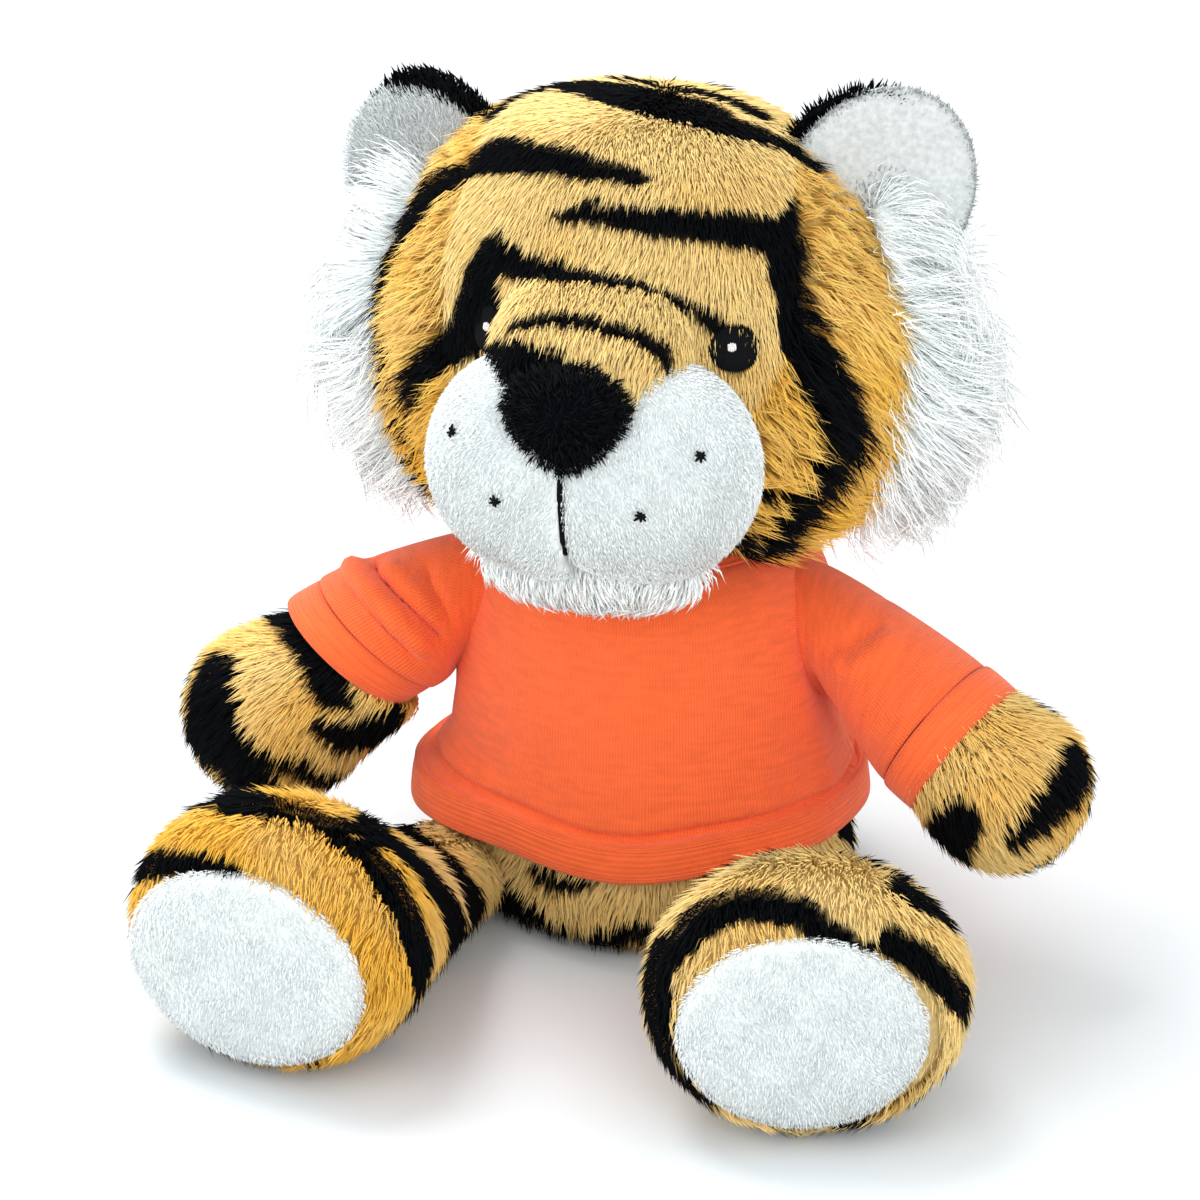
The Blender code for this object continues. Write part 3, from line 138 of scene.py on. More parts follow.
# Drag folds: route across and down in pixels, width and height in millimetres
SLEEVE_CREASES = {
    -1: (
        (((366, 549), (377, 574), (396, 594), (421, 617), (446, 646)), 1.4, -3.0),
        (((353, 556), (362, 580), (384, 604), (410, 632), (436, 655)), 2.2, 2.8),
        (((386, 560), (402, 585), (430, 610), (450, 632)), 1.8, 1.8),
        (((424, 556), (432, 586), (445, 614), (451, 636)), 1.4, -1.9),
        (((345, 575), (362, 602), (392, 632), (425, 664)), 1.2, -1.0),
    ),
    1: (
        (((806, 662), (822, 692), (840, 720), (857, 742)), 1.8, -2.4),
        (((820, 660), (850, 672), (880, 650), (896, 626)), 2.4, 1.7),
        (((812, 640), (845, 650), (872, 630), (880, 596)), 1.6, -1.5),
        (((860, 735), (900, 715), (925, 690)), 2.2, 1.5),
        (((915, 722), (940, 700), (965, 668)), 1.2, -1.4),
    ),
}

# Limbs and tail, as in the CAD
SHOULDER = np.array((34.0, -7.0, 69.5)) * MM
ARM_WAY = np.array((0.82, -0.29, -0.495))
ARM_LENGTH = 76 * MM
PAW_RADIUS = 16.2 * MM
ARM_ROWS = (
    (-0.10, 0.42),
    (0.00, 0.58),
    (0.14, 0.58),
    (0.30, 0.66),
    (0.46, 0.76),
    (0.58, 0.84),
    (0.70, 0.97),
    (0.82, 1.0),
    (0.92, 0.80),
    (0.98, 0.45),
    (1.00, 0.03),
)
HIP = np.array((35.0, -14.0, 0.0)) * MM
LEG_SPLAY = math.radians(13.1)
LEG_LENGTH = 94 * MM
FOOT_HALF_WIDTH = 32.5 * MM
FOOT_HALF_HEIGHT = 27.5 * MM
FOOT_PITCH = 0.04

# Rows of a leg: share of its length, of its half width, of its half height, and of the foot's pitch
LEG_ROWS = (
    (-0.10, 0.30, 0.22, 0.0),
    (0.00, 0.46, 0.36, 0.0),
    (0.15, 0.50, 0.375, 0.0),
    (0.27, 0.53, 0.40, 0.0),
    (0.41, 0.61, 0.50, 0.0),
    (0.56, 0.745, 0.69, 0.2),
    (0.71, 0.905, 0.90, 0.7),
    (0.84, 1.0, 1.0, 1.0),
    (0.94, 0.97, 0.945, 1.0),
    (1.00, 0.83, 0.79, 1.0),
)
TAIL_ROOT = np.array((0.0, 34.0, 8.5)) * MM
TAIL_LENGTH = 79 * MM
TAIL_RADIUS = 6.5 * MM
TAIL_PATH = ((0.0, 0.0), (0.0, 0.16), (-0.04, 0.31), (-0.14, 0.43), (-0.29, 0.49), (-0.44, 0.47), (-0.54, 0.40))

# Face, ears and ruffs, as in the CAD, with EAR_SEWN as in the photograph
PADS_CENTRE = np.array((12.0, -53.0, 117.2)) * MM
PADS_SIZE = np.array((22.0, 20.0, 23.0)) * MM
BRIDGE_CENTRE = np.array((-1.5, -48.0, 139.7)) * MM
BRIDGE_SIZE = np.array((20.5, 23.0, 12.5)) * MM
BRIDGE_TILT = math.radians(37)
NOSE_CENTRE = np.array((-1.5, -68.0, 131.7)) * MM
NOSE_SIZE = np.array((14.0, 8.0, 10.6)) * MM
EAR_SEWN = {1: np.array((-3.4, 0, 2.7)) * MM, -1: np.array((1.6, 0, -2.7)) * MM}
CHIN_CENTRE = np.array((-1.0, -49.0, 94.8)) * MM
CHIN_SIZE = np.array((23.0, 9.0, 8.0)) * MM
MUZZLE_SEAM = -2.5 * MM
EAR_CENTRE = np.array((48.5, -3.5, 158.7)) * MM
EAR_SIZE = np.array((20.5, 4.2, 24.0)) * MM

# Each half ear: how much smaller than its solid, and how far aside, in millimetres
EAR_FRONT = {1: ((1.4, 0.9, 0.5), (1.5, 0, -0.3)), -1: ((1.6, 0.9, 1.8), (1.5, 0, -0.9))}
EAR_BACK = {1: ((2.8, 0.4, 2.4), (-2.9, 0, -0.9)), -1: ((2.8, 0.4, 0.9), (-2.7, 0, -0.3))}
EAR_HOLLOW = {1: 2.4 * MM, -1: 0.8 * MM}
EAR_LEAN = math.radians(24)
EAR_TOE_OUT = math.radians(14)
RUFF_CENTRE = np.array((0.0, -1.0, 128.7)) * MM
RUFF_RADIUS = 58 * MM
RUFF_ANGLES = (math.radians(34), math.radians(-36))
RUFF_SPREAD = 12 * MM
RUFF_THICKNESS = 8 * MM

# Skins and how they are stuffed
FLOOR_GAP = 0.3 * MM
SKIN_GAP = 0.15 * MM
SKIN_INSETS = {"torso": 2.4 * MM, "head": 2.3 * MM, "leg": 2.9 * MM}
PRESSURE = 4.0
CLOTH_FRAMES = 20
PLUMP_CAP = 1.2 * MM
TORSO_COVER = (32 * MM, 28 * MM)
FACE_RADIUS = 48 * MM
FLUFFY_BELOW = (72 * MM, 50 * MM)
EYES_OUT = {1: 0.8 * MM, -1: 3.6 * MM}
EYE_CLEARING = 4.2 * MM
EYE_STITCHES = 23
EYE_RADIUS = 5.1 * MM
NOSE_COMB = np.array((0, -20 * MM, 6 * MM))
SOLE_ROWS = ((-0.45, 1.0), (0.0, 1.0), (0.35, 0.93), (0.75, 0.66), (0.95, 0.30), (1.0, 0.02))
SOLE_CROWN = 5.0 * MM

# Each side's sole: narrower, lifted, towards the middle
SOLE_FIT = {1: (3.4 * MM, 0.8 * MM, 1.2 * MM), -1: (0.8 * MM, 0.0, 0.0)}

# Fillets of the muzzle: axis, depth, reach, and the shares of the pad where one starts and is whole
MUZZLE_FILLS = ((1, 2.6 * MM, 6.5 * MM, 0.1, 0.55), (2, 2.4 * MM, 8 * MM, 0.1, 0.7))

# Pile and yarn
PRINT_EDGE = 0.35 * MM
STRIPE_SLANT = 2.6
PER_METRE_2 = 1e6
DENSITY_BEFORE_GAPS = 2.2
GAP_SHARE = 0.72
PILE_ON_FLOOR = 0.25 * MM
BACKING_GRAIN = 1.2 * MM
THREAD_PLY = 0.5 * MM
COURSE_SHARE = 1.25
YARN_PER_METRE = (160.0, 800.0, 1.0)
TIP_CROWDING = 1.4
TINY = 1e-9
LEAST_RADIUS = 0.05 * MM
USUAL_LOOK = dict(rings=2, bend=0.9, spread=0.22, fray=0.16, tuft=2.0, pull=0.7, softness=0.65)
LOOKS = {
    "torso front": dict(per_mm2=3.5, width=0.39 * MM, tuft=1.8, pull=0.5),
    "torso back": dict(per_mm2=2.3, width=0.46 * MM, tuft=1.8, pull=0.5),
    "crown": dict(per_mm2=5.9, width=0.27 * MM, tuft=0.9, pull=0.3),
    "head back": dict(per_mm2=2.5, width=0.42 * MM, tuft=0.9, pull=0.3),
    "cheek": dict(per_mm2=4.1, width=0.36 * MM, tuft=2.7, pull=1.3, fray=0.26),
    "arm": dict(per_mm2=5.0, width=0.34 * MM, tuft=1.9, pull=0.6),
    "leg": dict(per_mm2=4.1, width=0.36 * MM, tuft=1.8, pull=0.55),
    "tail": dict(per_mm2=3.6, width=0.42 * MM, tuft=2.0, pull=0.6, fray=0.18),
    "ruff": dict(per_mm2=7.6, width=0.28 * MM, rings=3, tuft=3.6, pull=0.7, fray=0.3, spread=0.5, softness=0.3),
    "velour": dict(per_mm2=4.5, width=0.28 * MM, tuft=1.2, pull=0.2, fray=0.2, softness=0.3),
    "nose": dict(per_mm2=5.0, tuft=1.3, pull=0.7, fray=0.5),
    "chin": dict(per_mm2=6.4, width=0.38 * MM, tuft=1.8, pull=0.6, rings=3),
    "ear front": dict(per_mm2=4.5, width=0.26 * MM, fray=0.3),
    "ear back": dict(per_mm2=5.5, width=0.46 * MM, fray=0.3),
    "sole": dict(per_mm2=4.1),
}

# T-shirt
SHIRT_EASE = 2.2 * MM
SEAM_ANGLE = 0.0005
GROOVE_DEPTH = 1.8 * MM
NECK_BAND_HEIGHT = 3.6 * MM
SLEEVE_PULL = 14 * MM
SHIRT_TOP = 83.4 * MM
HEM_BOTTOM = 22.0 * MM
HEM_HEIGHT = 8.6 * MM
HEM_TOP = HEM_BOTTOM + HEM_HEIGHT
HEM_DIP = 2.6 * MM
HEM_DIP_ANGLE = math.radians(34)
SLEEVE_RADII = {1: 15.7 * MM, -1: 15.0 * MM}
PAW_INSET = 4.5 * MM
CUFF_HEIGHT = 8.5 * MM
ARMHOLE_CENTRE = np.array((-5.0, 65.0)) * MM
ARMHOLE_SIZE = np.array((11.6, 14.6)) * MM
SLEEVE_LENGTHS = {1: 36.5 * MM, -1: 29.0 * MM}
SLEEVE_TILTS = {1: 0.0, -1: 5.0 * MM}
SHIRT_CREASES = (
    (((806, 650), (828, 690), (850, 728), (866, 762)), 3.2, -2.0),
    (((780, 640), (800, 700), (822, 760), (832, 800)), 4.5, 0.9),
    (((455, 640), (470, 690), (462, 750), (440, 790)), 4.5, 0.9),
    (((470, 660), (560, 690), (660, 690), (740, 670)), 5.5, -0.5),
    (((500, 770), (600, 800), (700, 800), (780, 780)), 4.5, 0.7),
)

# The printed stripes, as routes that were read from the photograph: across, down and half width in pixels
HEAD_STRIPES = (
    (
        (495, 118, 4), (535, 94, 7), (578, 88, 9), (636, 98, 12),
        (690, 113, 12), (731, 129, 9), (771, 140, 6), (812, 165, 5),
    ),
    ((614, 82, 3), (680, 92, 5), (705, 96, 5), (760, 118, 4)),
    ((655, 77, 4), (700, 81, 6), (724, 90, 4)),
    (
        (473, 167, 9), (494, 155, 14), (531, 158, 14), (578, 165, 12),
        (614, 173, 10), (640, 178, 8), (651, 180, 3),
    ),
    (
        (551, 216, 3), (580, 215, 8), (614, 217, 11), (651, 222, 13),
        (705, 226, 15), (742, 230, 17), (771, 236, 16),
    ),
    ((588, 199, 3), (600, 203, 4)),
    (
        (791, 205, 6), (785, 242, 20), (789, 278, 19), (800, 333, 19),
        (814, 369, 20), (833, 405, 24), (847, 442, 16),
    ),
    ((847, 442, 16), (829, 471, 14), (803, 507, 11), (778, 536, 9), (724, 558, 5)),
    (
        (494, 250, 12), (513, 264, 14), (534, 268, 13), (563, 275, 9),
        (596, 279, 6), (633, 286, 4), (669, 297, 5),
    ),
    ((669, 297, 5), (698, 311, 7), (720, 327, 9)),
    (
        (494, 250, 12), (482, 278, 16), (480, 307, 19), (467, 333, 19),
        (441, 354, 15), (422, 373, 10), (415, 398, 8),
    ),
    ((460, 178, 8), (427, 198, 10), (405, 237, 10), (393, 280, 10), (389, 315, 9)),
    ((393, 343, 4), (399, 398, 4), (415, 438, 3), (434, 489, 3)),
    ((516, 327, 4), (540, 321, 6), (563, 320, 7), (596, 325, 7), (633, 336, 7), (662, 350, 7), (666, 370, 3)),
    ((489, 372, 17), (516, 364, 20), (548, 366, 16)),
    ((771, 492, 6), (771, 496, 6)),
    ((758, 519, 4), (757, 522, 4)),
    ((744, 535, 5), (738, 540, 5)),
)
LEG_RIGHT_STRIPES = (
    ((179, 801, 5), (208, 802, 6), (245, 803, 8), (282, 809, 7), (311, 817, 6), (340, 837, 7), (363, 852, 9)),
    (
        (363, 852, 8), (385, 876, 10), (401, 903, 10), (415, 941, 9),
        (421, 975, 8), (419, 1010, 7), (405, 1046, 6),
    ),
    (
        (348, 827, 5), (368, 835, 7), (391, 846, 9), (414, 869, 10),
        (434, 895, 11), (449, 918, 11), (459, 946, 9),
    ),
    ((459, 946, 9), (463, 975, 8), (452, 1004, 6)),
    (
        (360, 826, 4), (394, 835, 6), (426, 849, 7), (452, 872, 7),
        (469, 901, 8), (486, 935, 9), (495, 964, 8), (486, 981, 5),
    ),
    ((133, 866, 15), (159, 864, 12), (187, 864, 11), (216, 868, 10), (236, 872, 6)),
    ((374, 817, 5), (397, 803, 8), (409, 796, 8)),
    ((162, 998, 4), (187, 1024, 5), (210, 1044, 5), (225, 1048, 3)),
)
LEG_LEFT_STRIPES = (
    (
        (674, 952, 10), (696, 922, 13), (725, 908, 14), (755, 904, 14),
        (800, 911, 13), (836, 937, 10), (866, 948, 6),
    ),
    ((658, 959, 10), (653, 1003, 15), (666, 1070, 16), (692, 1106, 16)),
    ((892, 941, 12), (933, 970, 13), (969, 1015, 10)),
    ((910, 893, 8), (947, 922, 8)),
    ((752, 858, 6), (790, 848, 9), (830, 846, 9), (872, 852, 9)),
)
ARM_RIGHT_STRIPES = (
    ((283, 610, 16), (315, 648, 18), (332, 690, 16), (350, 701, 8)),
    ((378, 729, 10), (346, 736, 12), (318, 725, 7)),
    ((210, 683, 14), (210, 732, 20), (241, 760, 16), (255, 789, 12), (290, 796, 7)),
    ((269, 757, 6), (300, 768, 7), (336, 775, 6)),
)
ARM_LEFT_STRIPES = (
    ((1075, 767, 12), (1047, 811, 14), (1018, 837, 10)),
    ((933, 833, 15), (962, 819, 14), (955, 848, 10)),
    ((1060, 874, 5), (1064, 872, 5)),
)
BELLY_STRIPES = (
    ((838, 818, 8), (852, 834, 10), (866, 850, 8)),
    ((480, 863, 5), (503, 892, 8), (529, 916, 9), (579, 940, 9), (629, 934, 9), (669, 936, 8)),
    ((539, 873, 8), (566, 883, 8), (589, 883, 7)),
)
ARM_STRIPES = {1: ARM_LEFT_STRIPES, -1: ARM_RIGHT_STRIPES}
LEG_STRIPES = {1: LEG_LEFT_STRIPES, -1: LEG_RIGHT_STRIPES}


# Settings in the sidebar


def colour_property(name, description, hex_colour):
    colour = linear(hex_colour)[:3]
    return bpy.props.FloatVectorProperty(
        name=name, description=description, default=colour, subtype="COLOR", size=3, min=0, max=1
    )


def size_property(name, description, millimetres):
    return bpy.props.FloatProperty(
        name=name, description=description, default=millimetres * MM, unit="LENGTH", min=0, precision=5
    )


def power_property(name, description, power):
    return bpy.props.FloatProperty(name=name, description=description, default=power, min=0)


def linear(hex_colour):
    """An sRGB hex colour as linear red, green, blue and alpha."""
    parts = [int(hex_colour[n : n + 2], 16) / 255 for n in (1, 3, 5)]
    return (*(c / 12.92 if c <= 0.04045 else ((c + 0.055) / 1.055) ** 2.4 for c in parts), 1.0)


class PlushSettings(bpy.types.PropertyGroup):
    gold: colour_property("Gold pile", "Ground colour of the printed pile on crown and limbs", "#FFDF98")
    amber: colour_property("Amber pile", "Deeper ground colour of the cheeks and feet", "#FCC552")
    black: colour_property("Black pile", "Colour of the printed stripes, ear backs and nose", "#090B0F")
    white: colour_property("White pile", "Colour of the muzzle, soles, ear fronts and ruffs", "#ECF2F3")
    body_pile: size_property("Body pile", "Length of the pile on the body and limbs", 5.2)
    crown_pile: size_property("Crown pile", "Length of the pile on the crown", 3.8)
    cheek_pile: size_property("Cheek pile", "Length of the pile on the cheeks", 8.5)
    velour_pile: size_property("Velour pile", "Length of the pile on the muzzle, soles and ear fronts", 1.4)
    ruff_pile: size_property("Ruff pile", "Length of the longest hairs at the sides of the head", 15.5)
    seed: bpy.props.IntProperty(
        name="Seed", description="Start of every random draw in the pile", default=7, min=0
    )


class ShirtSettings(bpy.types.PropertyGroup):
    orange: colour_property("Knit", "Colour of the shirt's jersey", "#FF6B33")
    wall: size_property("Cloth", "Thickness of the jersey", 1.1)
    wale: size_property("Wale", "Distance between two ribs of the knit", 0.62)


class StageSettings(bpy.types.PropertyGroup):
    world_light: power_property("World", "Light from all round", 1.0)
    key_light: power_property("Key", "Power of the lamp overhead", 6.5)
    fill_light: power_property("Fill", "Power of each lamp in front", 4.8)


# Nodes and materials


def add(tree, kind, inputs=None, **settings):
    """Adds a node with its settings, and joins or sets its inputs by place or identifier.

    A node given as a value stands for the first output that its settings leave in use."""
    made = tree.nodes.new(kind)
    for key, value in settings.items():
        setattr(made, key, value)
    named = {socket.identifier: socket for socket in made.inputs}
    for key, value in (inputs or {}).items():
        socket = made.inputs[key] if isinstance(key, int) else named[key]
        if isinstance(value, bpy.types.Node):
            value = next(s for s in value.outputs if s.enabled)
        if isinstance(value, bpy.types.NodeSocket):
            tree.links.new(value, socket)
        else:
            socket.default_value = value
    return made


def new_material(name, **shader_values):
    """A material with one shader, whose constant values are set on its own sockets."""
    made = bpy.data.materials.new(name)
    made.use_nodes = True
    shader = made.node_tree.nodes["Principled BSDF"]
    for key, value in shader_values.items():
        shader.inputs[key.replace("_", " ")].default_value = value
    return made, made.node_tree, shader


def colour_shader(tree, shader, colour, strength, ridge=None, depth=0.0, share=0.0):
    """Gives a shader a colour scaled by a strength, and a bump where a ridge is given."""
    scaled = add(tree, "ShaderNodeVectorMath", {0: colour, 3: strength}, operation="SCALE")
    tree.links.new(scaled.outputs["Vector"], shader.inputs["Base Color"])
    if ridge:
        bump = add(tree, "ShaderNodeBump", {"Height": ridge, "Distance": depth, "Strength": share})
        tree.links.new(bump.outputs[0], shader.inputs["Normal"])


def plush_fibre(name, root_shade, tip_shade):
    """Brushed polyester pile: matt fibres, deeper in colour where they crowd at the root, paler at the tip."""
    made, tree, shader = new_material(name, Roughness=0.85, Specular_IOR_Level=0.03)
    coat = add(tree, "ShaderNodeAttribute", attribute_name="coat")
    along = add(tree, "ShaderNodeAttribute", attribute_name="along").outputs["Fac"]
    shade = add(tree, "ShaderNodeAttribute", attribute_name="shade").outputs["Fac"]
    # Painted shade towards the root and painted light towards the tip, along each strand.
    lift = add(tree, "ShaderNodeMapRange", {"Value": along, "To Min": root_shade, "To Max": tip_shade})
    vary = add(tree, "ShaderNodeMapRange", {"Value": shade, "To Min": 0.88, "To Max": 1.08})
    both = add(tree, "ShaderNodeMath", {0: lift, 1: vary}, operation="MULTIPLY")
    # Painted shade near the root: the coat times itself, darker and deeper.
    root_shade_colour = add(tree, "ShaderNodeVectorMath", {0: coat, 1: coat}, operation="MULTIPLY")
    reach = {"Value": along, "From Max": 0.75, "To Min": 0.25, "To Max": 1.0}
    near_tip = add(tree, "ShaderNodeMapRange", reach)
    parts = {"Factor_Float": near_tip, "A_Vector": root_shade_colour, "B_Vector": coat}
    colour_shader(tree, shader, add(tree, "ShaderNodeMix", parts, data_type="VECTOR"), both)
    return made


def plush_backing(name, shade):
    """The knitted ground cloth between the fibres of the pile, in the pile's colour in shadow."""
    made, tree, shader = new_material(name, Roughness=0.95, Sheen_Weight=0.0, Specular_IOR_Level=0.03)
    coat = add(tree, "ShaderNodeAttribute", attribute_name="coat")
    place = add(tree, "ShaderNodeTexCoord").outputs["Object"]
    grain = add(tree, "ShaderNodeTexNoise", {"Vector": place, "Scale": 1 / BACKING_GRAIN, "Detail": 2.0})
    lift = add(tree, "ShaderNodeMapRange", {"Value": grain, "To Min": shade * 0.7, "To Max": shade * 1.3})
    colour_shader(tree, shader, coat, lift, grain, 0.4 * MM, 0.6)
    return made


def jersey(name, settings, along_band):
    """Dyed cotton single jersey: fine wales that catch the light, crossed by rows of uneven yarn."""
    made, tree, shader = new_material(name, Roughness=0.85, Sheen_Weight=0.2, Specular_IOR_Level=0.3)
    cloth = add(tree, "ShaderNodeUVMap", uv_map="cloth")
    parts = add(tree, "ShaderNodeSeparateXYZ", {0: cloth})
    across, up = ("Y", "X") if along_band else ("X", "Y")
    step = math.tau / settings.wale
    wale = add(tree, "ShaderNodeMath", {0: parts.outputs[across], 1: step}, operation="MULTIPLY")
    ridge = add(tree, "ShaderNodeMath", {0: wale}, operation="COSINE")
    course = add(tree, "ShaderNodeMath", {0: parts.outputs[up], 1: step * COURSE_SHARE}, operation="MULTIPLY")
    lean = add(tree, "ShaderNodeMath", {0: wale, 1: course}, operation="ADD")
    stitch = add(tree, "ShaderNodeMath", {0: lean}, operation="SINE")
    knit = add(tree, "ShaderNodeMath", {0: stitch, 1: 0.45, 2: ridge}, operation="MULTIPLY_ADD")
    rows = add(tree, "ShaderNodeVectorMath", {0: cloth, 1: YARN_PER_METRE}, operation="MULTIPLY")
    yarn = add(tree, "ShaderNodeTexNoise", {"Vector": rows, "Scale": 1.0, "Detail": 2.0})
    # Painted light on the wales and painted shade between them.
    ranges = {"From Min": -1.4, "From Max": 1.4, "To Min": 0.86, "To Max": 1.05}
    lift = add(tree, "ShaderNodeMapRange", {"Value": knit, **ranges})
    ranges = {"From Min": 0.3, "From Max": 0.7, "To Min": 0.9, "To Max": 1.06}
    uneven = add(tree, "ShaderNodeMapRange", {"Value": yarn, **ranges})
    both = add(tree, "ShaderNodeMath", {0: lift, 1: uneven}, operation="MULTIPLY")
    colour_shader(tree, shader, tuple(settings.orange), both, knit, 0.08 * MM, 0.8)
    return made


def thread(name, hex_colour, sheen):
    """Rayon embroidery thread: twisted, smooth and a little glossy, with a darker line between plies."""
    made, tree, shader = new_material(name, Roughness=0.6, Sheen_Weight=sheen, Specular_IOR_Level=0.08)
    place = add(tree, "ShaderNodeTexCoord").outputs["Object"]
    ply = add(tree, "ShaderNodeTexNoise", {"Vector": place, "Scale": 1 / THREAD_PLY, "Detail": 1.0})
    ranges = {"From Min": 0.3, "From Max": 0.7, "To Min": 0.75, "To Max": 1.1}
    # Painted shade between the plies.
    lift = add(tree, "ShaderNodeMapRange", {"Value": ply, **ranges})
    colour_shader(tree, shader, linear(hex_colour)[:3], lift)
    return made


# Geometry Nodes


def new_tree(name, inputs):
    """An empty Geometry Nodes tree with its named inputs, and the nodes at its ends."""
    tree = bpy.data.node_groups.new(name, "GeometryNodeTree")
    for label, kind, value in (("Geometry", "Geometry", None), *inputs):
        socket = tree.interface.new_socket(label, in_out="INPUT", socket_type="NodeSocket" + kind)
        if value is not None:
            socket.default_value = value
    tree.interface.new_socket("Geometry", in_out="OUTPUT", socket_type="NodeSocketGeometry")
    return tree, tree.nodes.new("NodeGroupInput"), tree.nodes.new("NodeGroupOutput")


PILE_INPUTS = (
    ("Density", "Float", 1e6),
    ("Least Gap", "Float", 0.0003),
    ("Rings", "Int", 2),
    ("Width Share", "Float", 0.06),
    ("Bend Share", "Float", 0.1),
    ("Length Spread", "Float", 0.2),
    ("Fray", "Float", 0.15),
    ("Tuft Density", "Float", 1e5),
    ("Tuft Pull", "Float", 0.5),
    ("Seed", "Int", 0),
    ("Material", "Material", None),
)


def pile_tree():
    """Plants closed three-sided strands on a surface.

    The attribute pile holds each strand's way and length, and cover says where they stand.
    Tufts pull the tips of their strands together."""
    tree, given, result = new_tree("plush pile", PILE_INPUTS)
    get = given.outputs
    seed = {"Seed": get["Seed"]}
    vector, number = {"data_type": "FLOAT_VECTOR"}, {"data_type": "FLOAT"}
    cover = add(tree, "GeometryNodeInputNamedAttribute", {"Name": "cover"}, **number)
    pile = add(tree, "GeometryNodeInputNamedAttribute", {"Name": "pile"}, **vector)
    place = add(tree, "GeometryNodeInputPosition")
    spacing = {"Distance Min": get["Least Gap"], "Density Max": get["Density"], "Density Factor": cover}
    spots = {"Mesh": get["Geometry"], **spacing, **seed}
    roots = add(tree, "GeometryNodeDistributePointsOnFaces", spots, distribute_method="POISSON")
    spots = {"Mesh": get["Geometry"], "Density": get["Tuft Density"], **seed}
    tufts = add(tree, "GeometryNodeDistributePointsOnFaces", spots, distribute_method="RANDOM")
    near = add(tree, "GeometryNodeSampleNearest", {"Geometry": tufts, "Sample Position": place}, domain="POINT")
    found = {"Geometry": tufts, "Value": place, "Index": near}
    centre = add(tree, "GeometryNodeSampleIndex", found, domain="POINT", **vector)
    to_centre = add(tree, "ShaderNodeVectorMath", {0: centre, 1: place}, operation="SUBTRACT")
    pull = add(tree, "ShaderNodeVectorMath", {0: to_centre, 3: get["Tuft Pull"]}, operation="SCALE")
    least = add(tree, "ShaderNodeMath", {0: 1.0, 1: get["Length Spread"]}, operation="SUBTRACT")
    most = add(tree, "ShaderNodeMath", {0: 1.0, 1: get["Length Spread"]}, operation="ADD")
    chance = add(tree, "FunctionNodeRandomValue", {"Min_001": least, "Max_001": most, **seed}, **number)
    longer = add(tree, "ShaderNodeVectorMath", {0: pile, 3: chance}, operation="SCALE")
    size = add(tree, "ShaderNodeVectorMath", {0: longer}, operation="LENGTH")
    waywardness = add(tree, "ShaderNodeMath", {0: size, 1: get["Fray"]}, operation="MULTIPLY")
    limits = {"Min": (-1.0, -1.0, -1.0), "Max": (1.0, 1.0, 1.0)}
    astray = add(tree, "FunctionNodeRandomValue", {**limits, **seed}, **vector)
    fray = add(tree, "ShaderNodeVectorMath", {0: astray, 3: waywardness}, operation="SCALE")
    pulled = add(tree, "ShaderNodeVectorMath", {0: longer, 1: pull}, operation="ADD")
    grow = add(tree, "ShaderNodeVectorMath", {0: pulled, 1: fray}, operation="ADD")
    length = add(tree, "ShaderNodeVectorMath", {0: grow}, operation="LENGTH")
    stand = add(tree, "FunctionNodeAlignRotationToVector", {"Vector": grow}, axis="Z")
    facing = {"Rotation": stand, "Vector": roots.outputs["Normal"]}
    turn = add(tree, "FunctionNodeAlignRotationToVector", facing, axis="X", pivot_axis="Z")
    tone = add(tree, "FunctionNodeRandomValue", seed, **number)
    kept = {"Geometry": roots, "Name": "shade", "Value": tone}
    rooted = add(tree, "GeometryNodeStoreNamedAttribute", kept, domain="POINT", **number)
    stands = {"Points": rooted, "Instance": strand_nodes(tree, get), "Rotation": turn, "Scale": length}
    planted = add(tree, "GeometryNodeInstanceOnPoints", stands)
    real = add(tree, "GeometryNodeRealizeInstances", {"Geometry": planted})
    painted = add(tree, "GeometryNodeSetMaterial", {"Geometry": real, "Material": get["Material"]})
    tree.links.new(painted.outputs[0], result.inputs[0])
    return tree


def strand_nodes(tree, get):
    """One strand of unit length: a ball with three sides, drawn out, thinned and arched."""
    ball = add(tree, "GeometryNodeMeshUVSphere", {"Segments": 3, "Rings": get["Rings"], "Radius": 1.0})
    parts = add(tree, "ShaderNodeSeparateXYZ", {0: add(tree, "GeometryNodeInputPosition")})
    height = add(tree, "ShaderNodeMapRange", {"Value": parts.outputs["Z"], "From Min": -1.0, "From Max": 1.0})
    along = add(tree, "ShaderNodeMath", {0: height, 1: TIP_CROWDING}, operation="POWER")
    half = add(tree, "ShaderNodeMath", {0: get["Width Share"], 1: 0.5}, operation="MULTIPLY")
    left = add(tree, "ShaderNodeMath", {0: 1.0, 1: along}, operation="SUBTRACT")
    arch = add(tree, "ShaderNodeMath", {0: along, 1: left}, operation="MULTIPLY")
    bend = add(tree, "ShaderNodeMath", {0: arch, 1: get["Bend Share"]}, operation="MULTIPLY")
    across = add(tree, "ShaderNodeMath", {0: parts.outputs["X"], 1: half, 2: bend}, operation="MULTIPLY_ADD")
    aside = add(tree, "ShaderNodeMath", {0: parts.outputs["Y"], 1: half}, operation="MULTIPLY")
    moved = add(tree, "ShaderNodeCombineXYZ", {0: across, 1: aside, 2: along})
    kept = {"Geometry": ball, "Name": "along", "Value": along}
    marked = add(tree, "GeometryNodeStoreNamedAttribute", kept, data_type="FLOAT", domain="POINT")
    return add(tree, "GeometryNodeSetPosition", {"Geometry": marked, "Position": moved})


def grown_by(name, base, tree, values):
    """The plain mesh that a Geometry Nodes tree makes of an object, as a new object."""
    step = base.modifiers.new(tree.name, "NODES")
    step.node_group = tree
    known = {item.name: item.identifier for item in tree.interface.items_tree if item.in_out == "INPUT"}
    for key, value in values.items():
        step[known[key]] = value
    base.update_tag()
    data = evaluated(base)
    base.modifiers.remove(step)
    data.name = name
    return place_object(name, data)


# Meshes


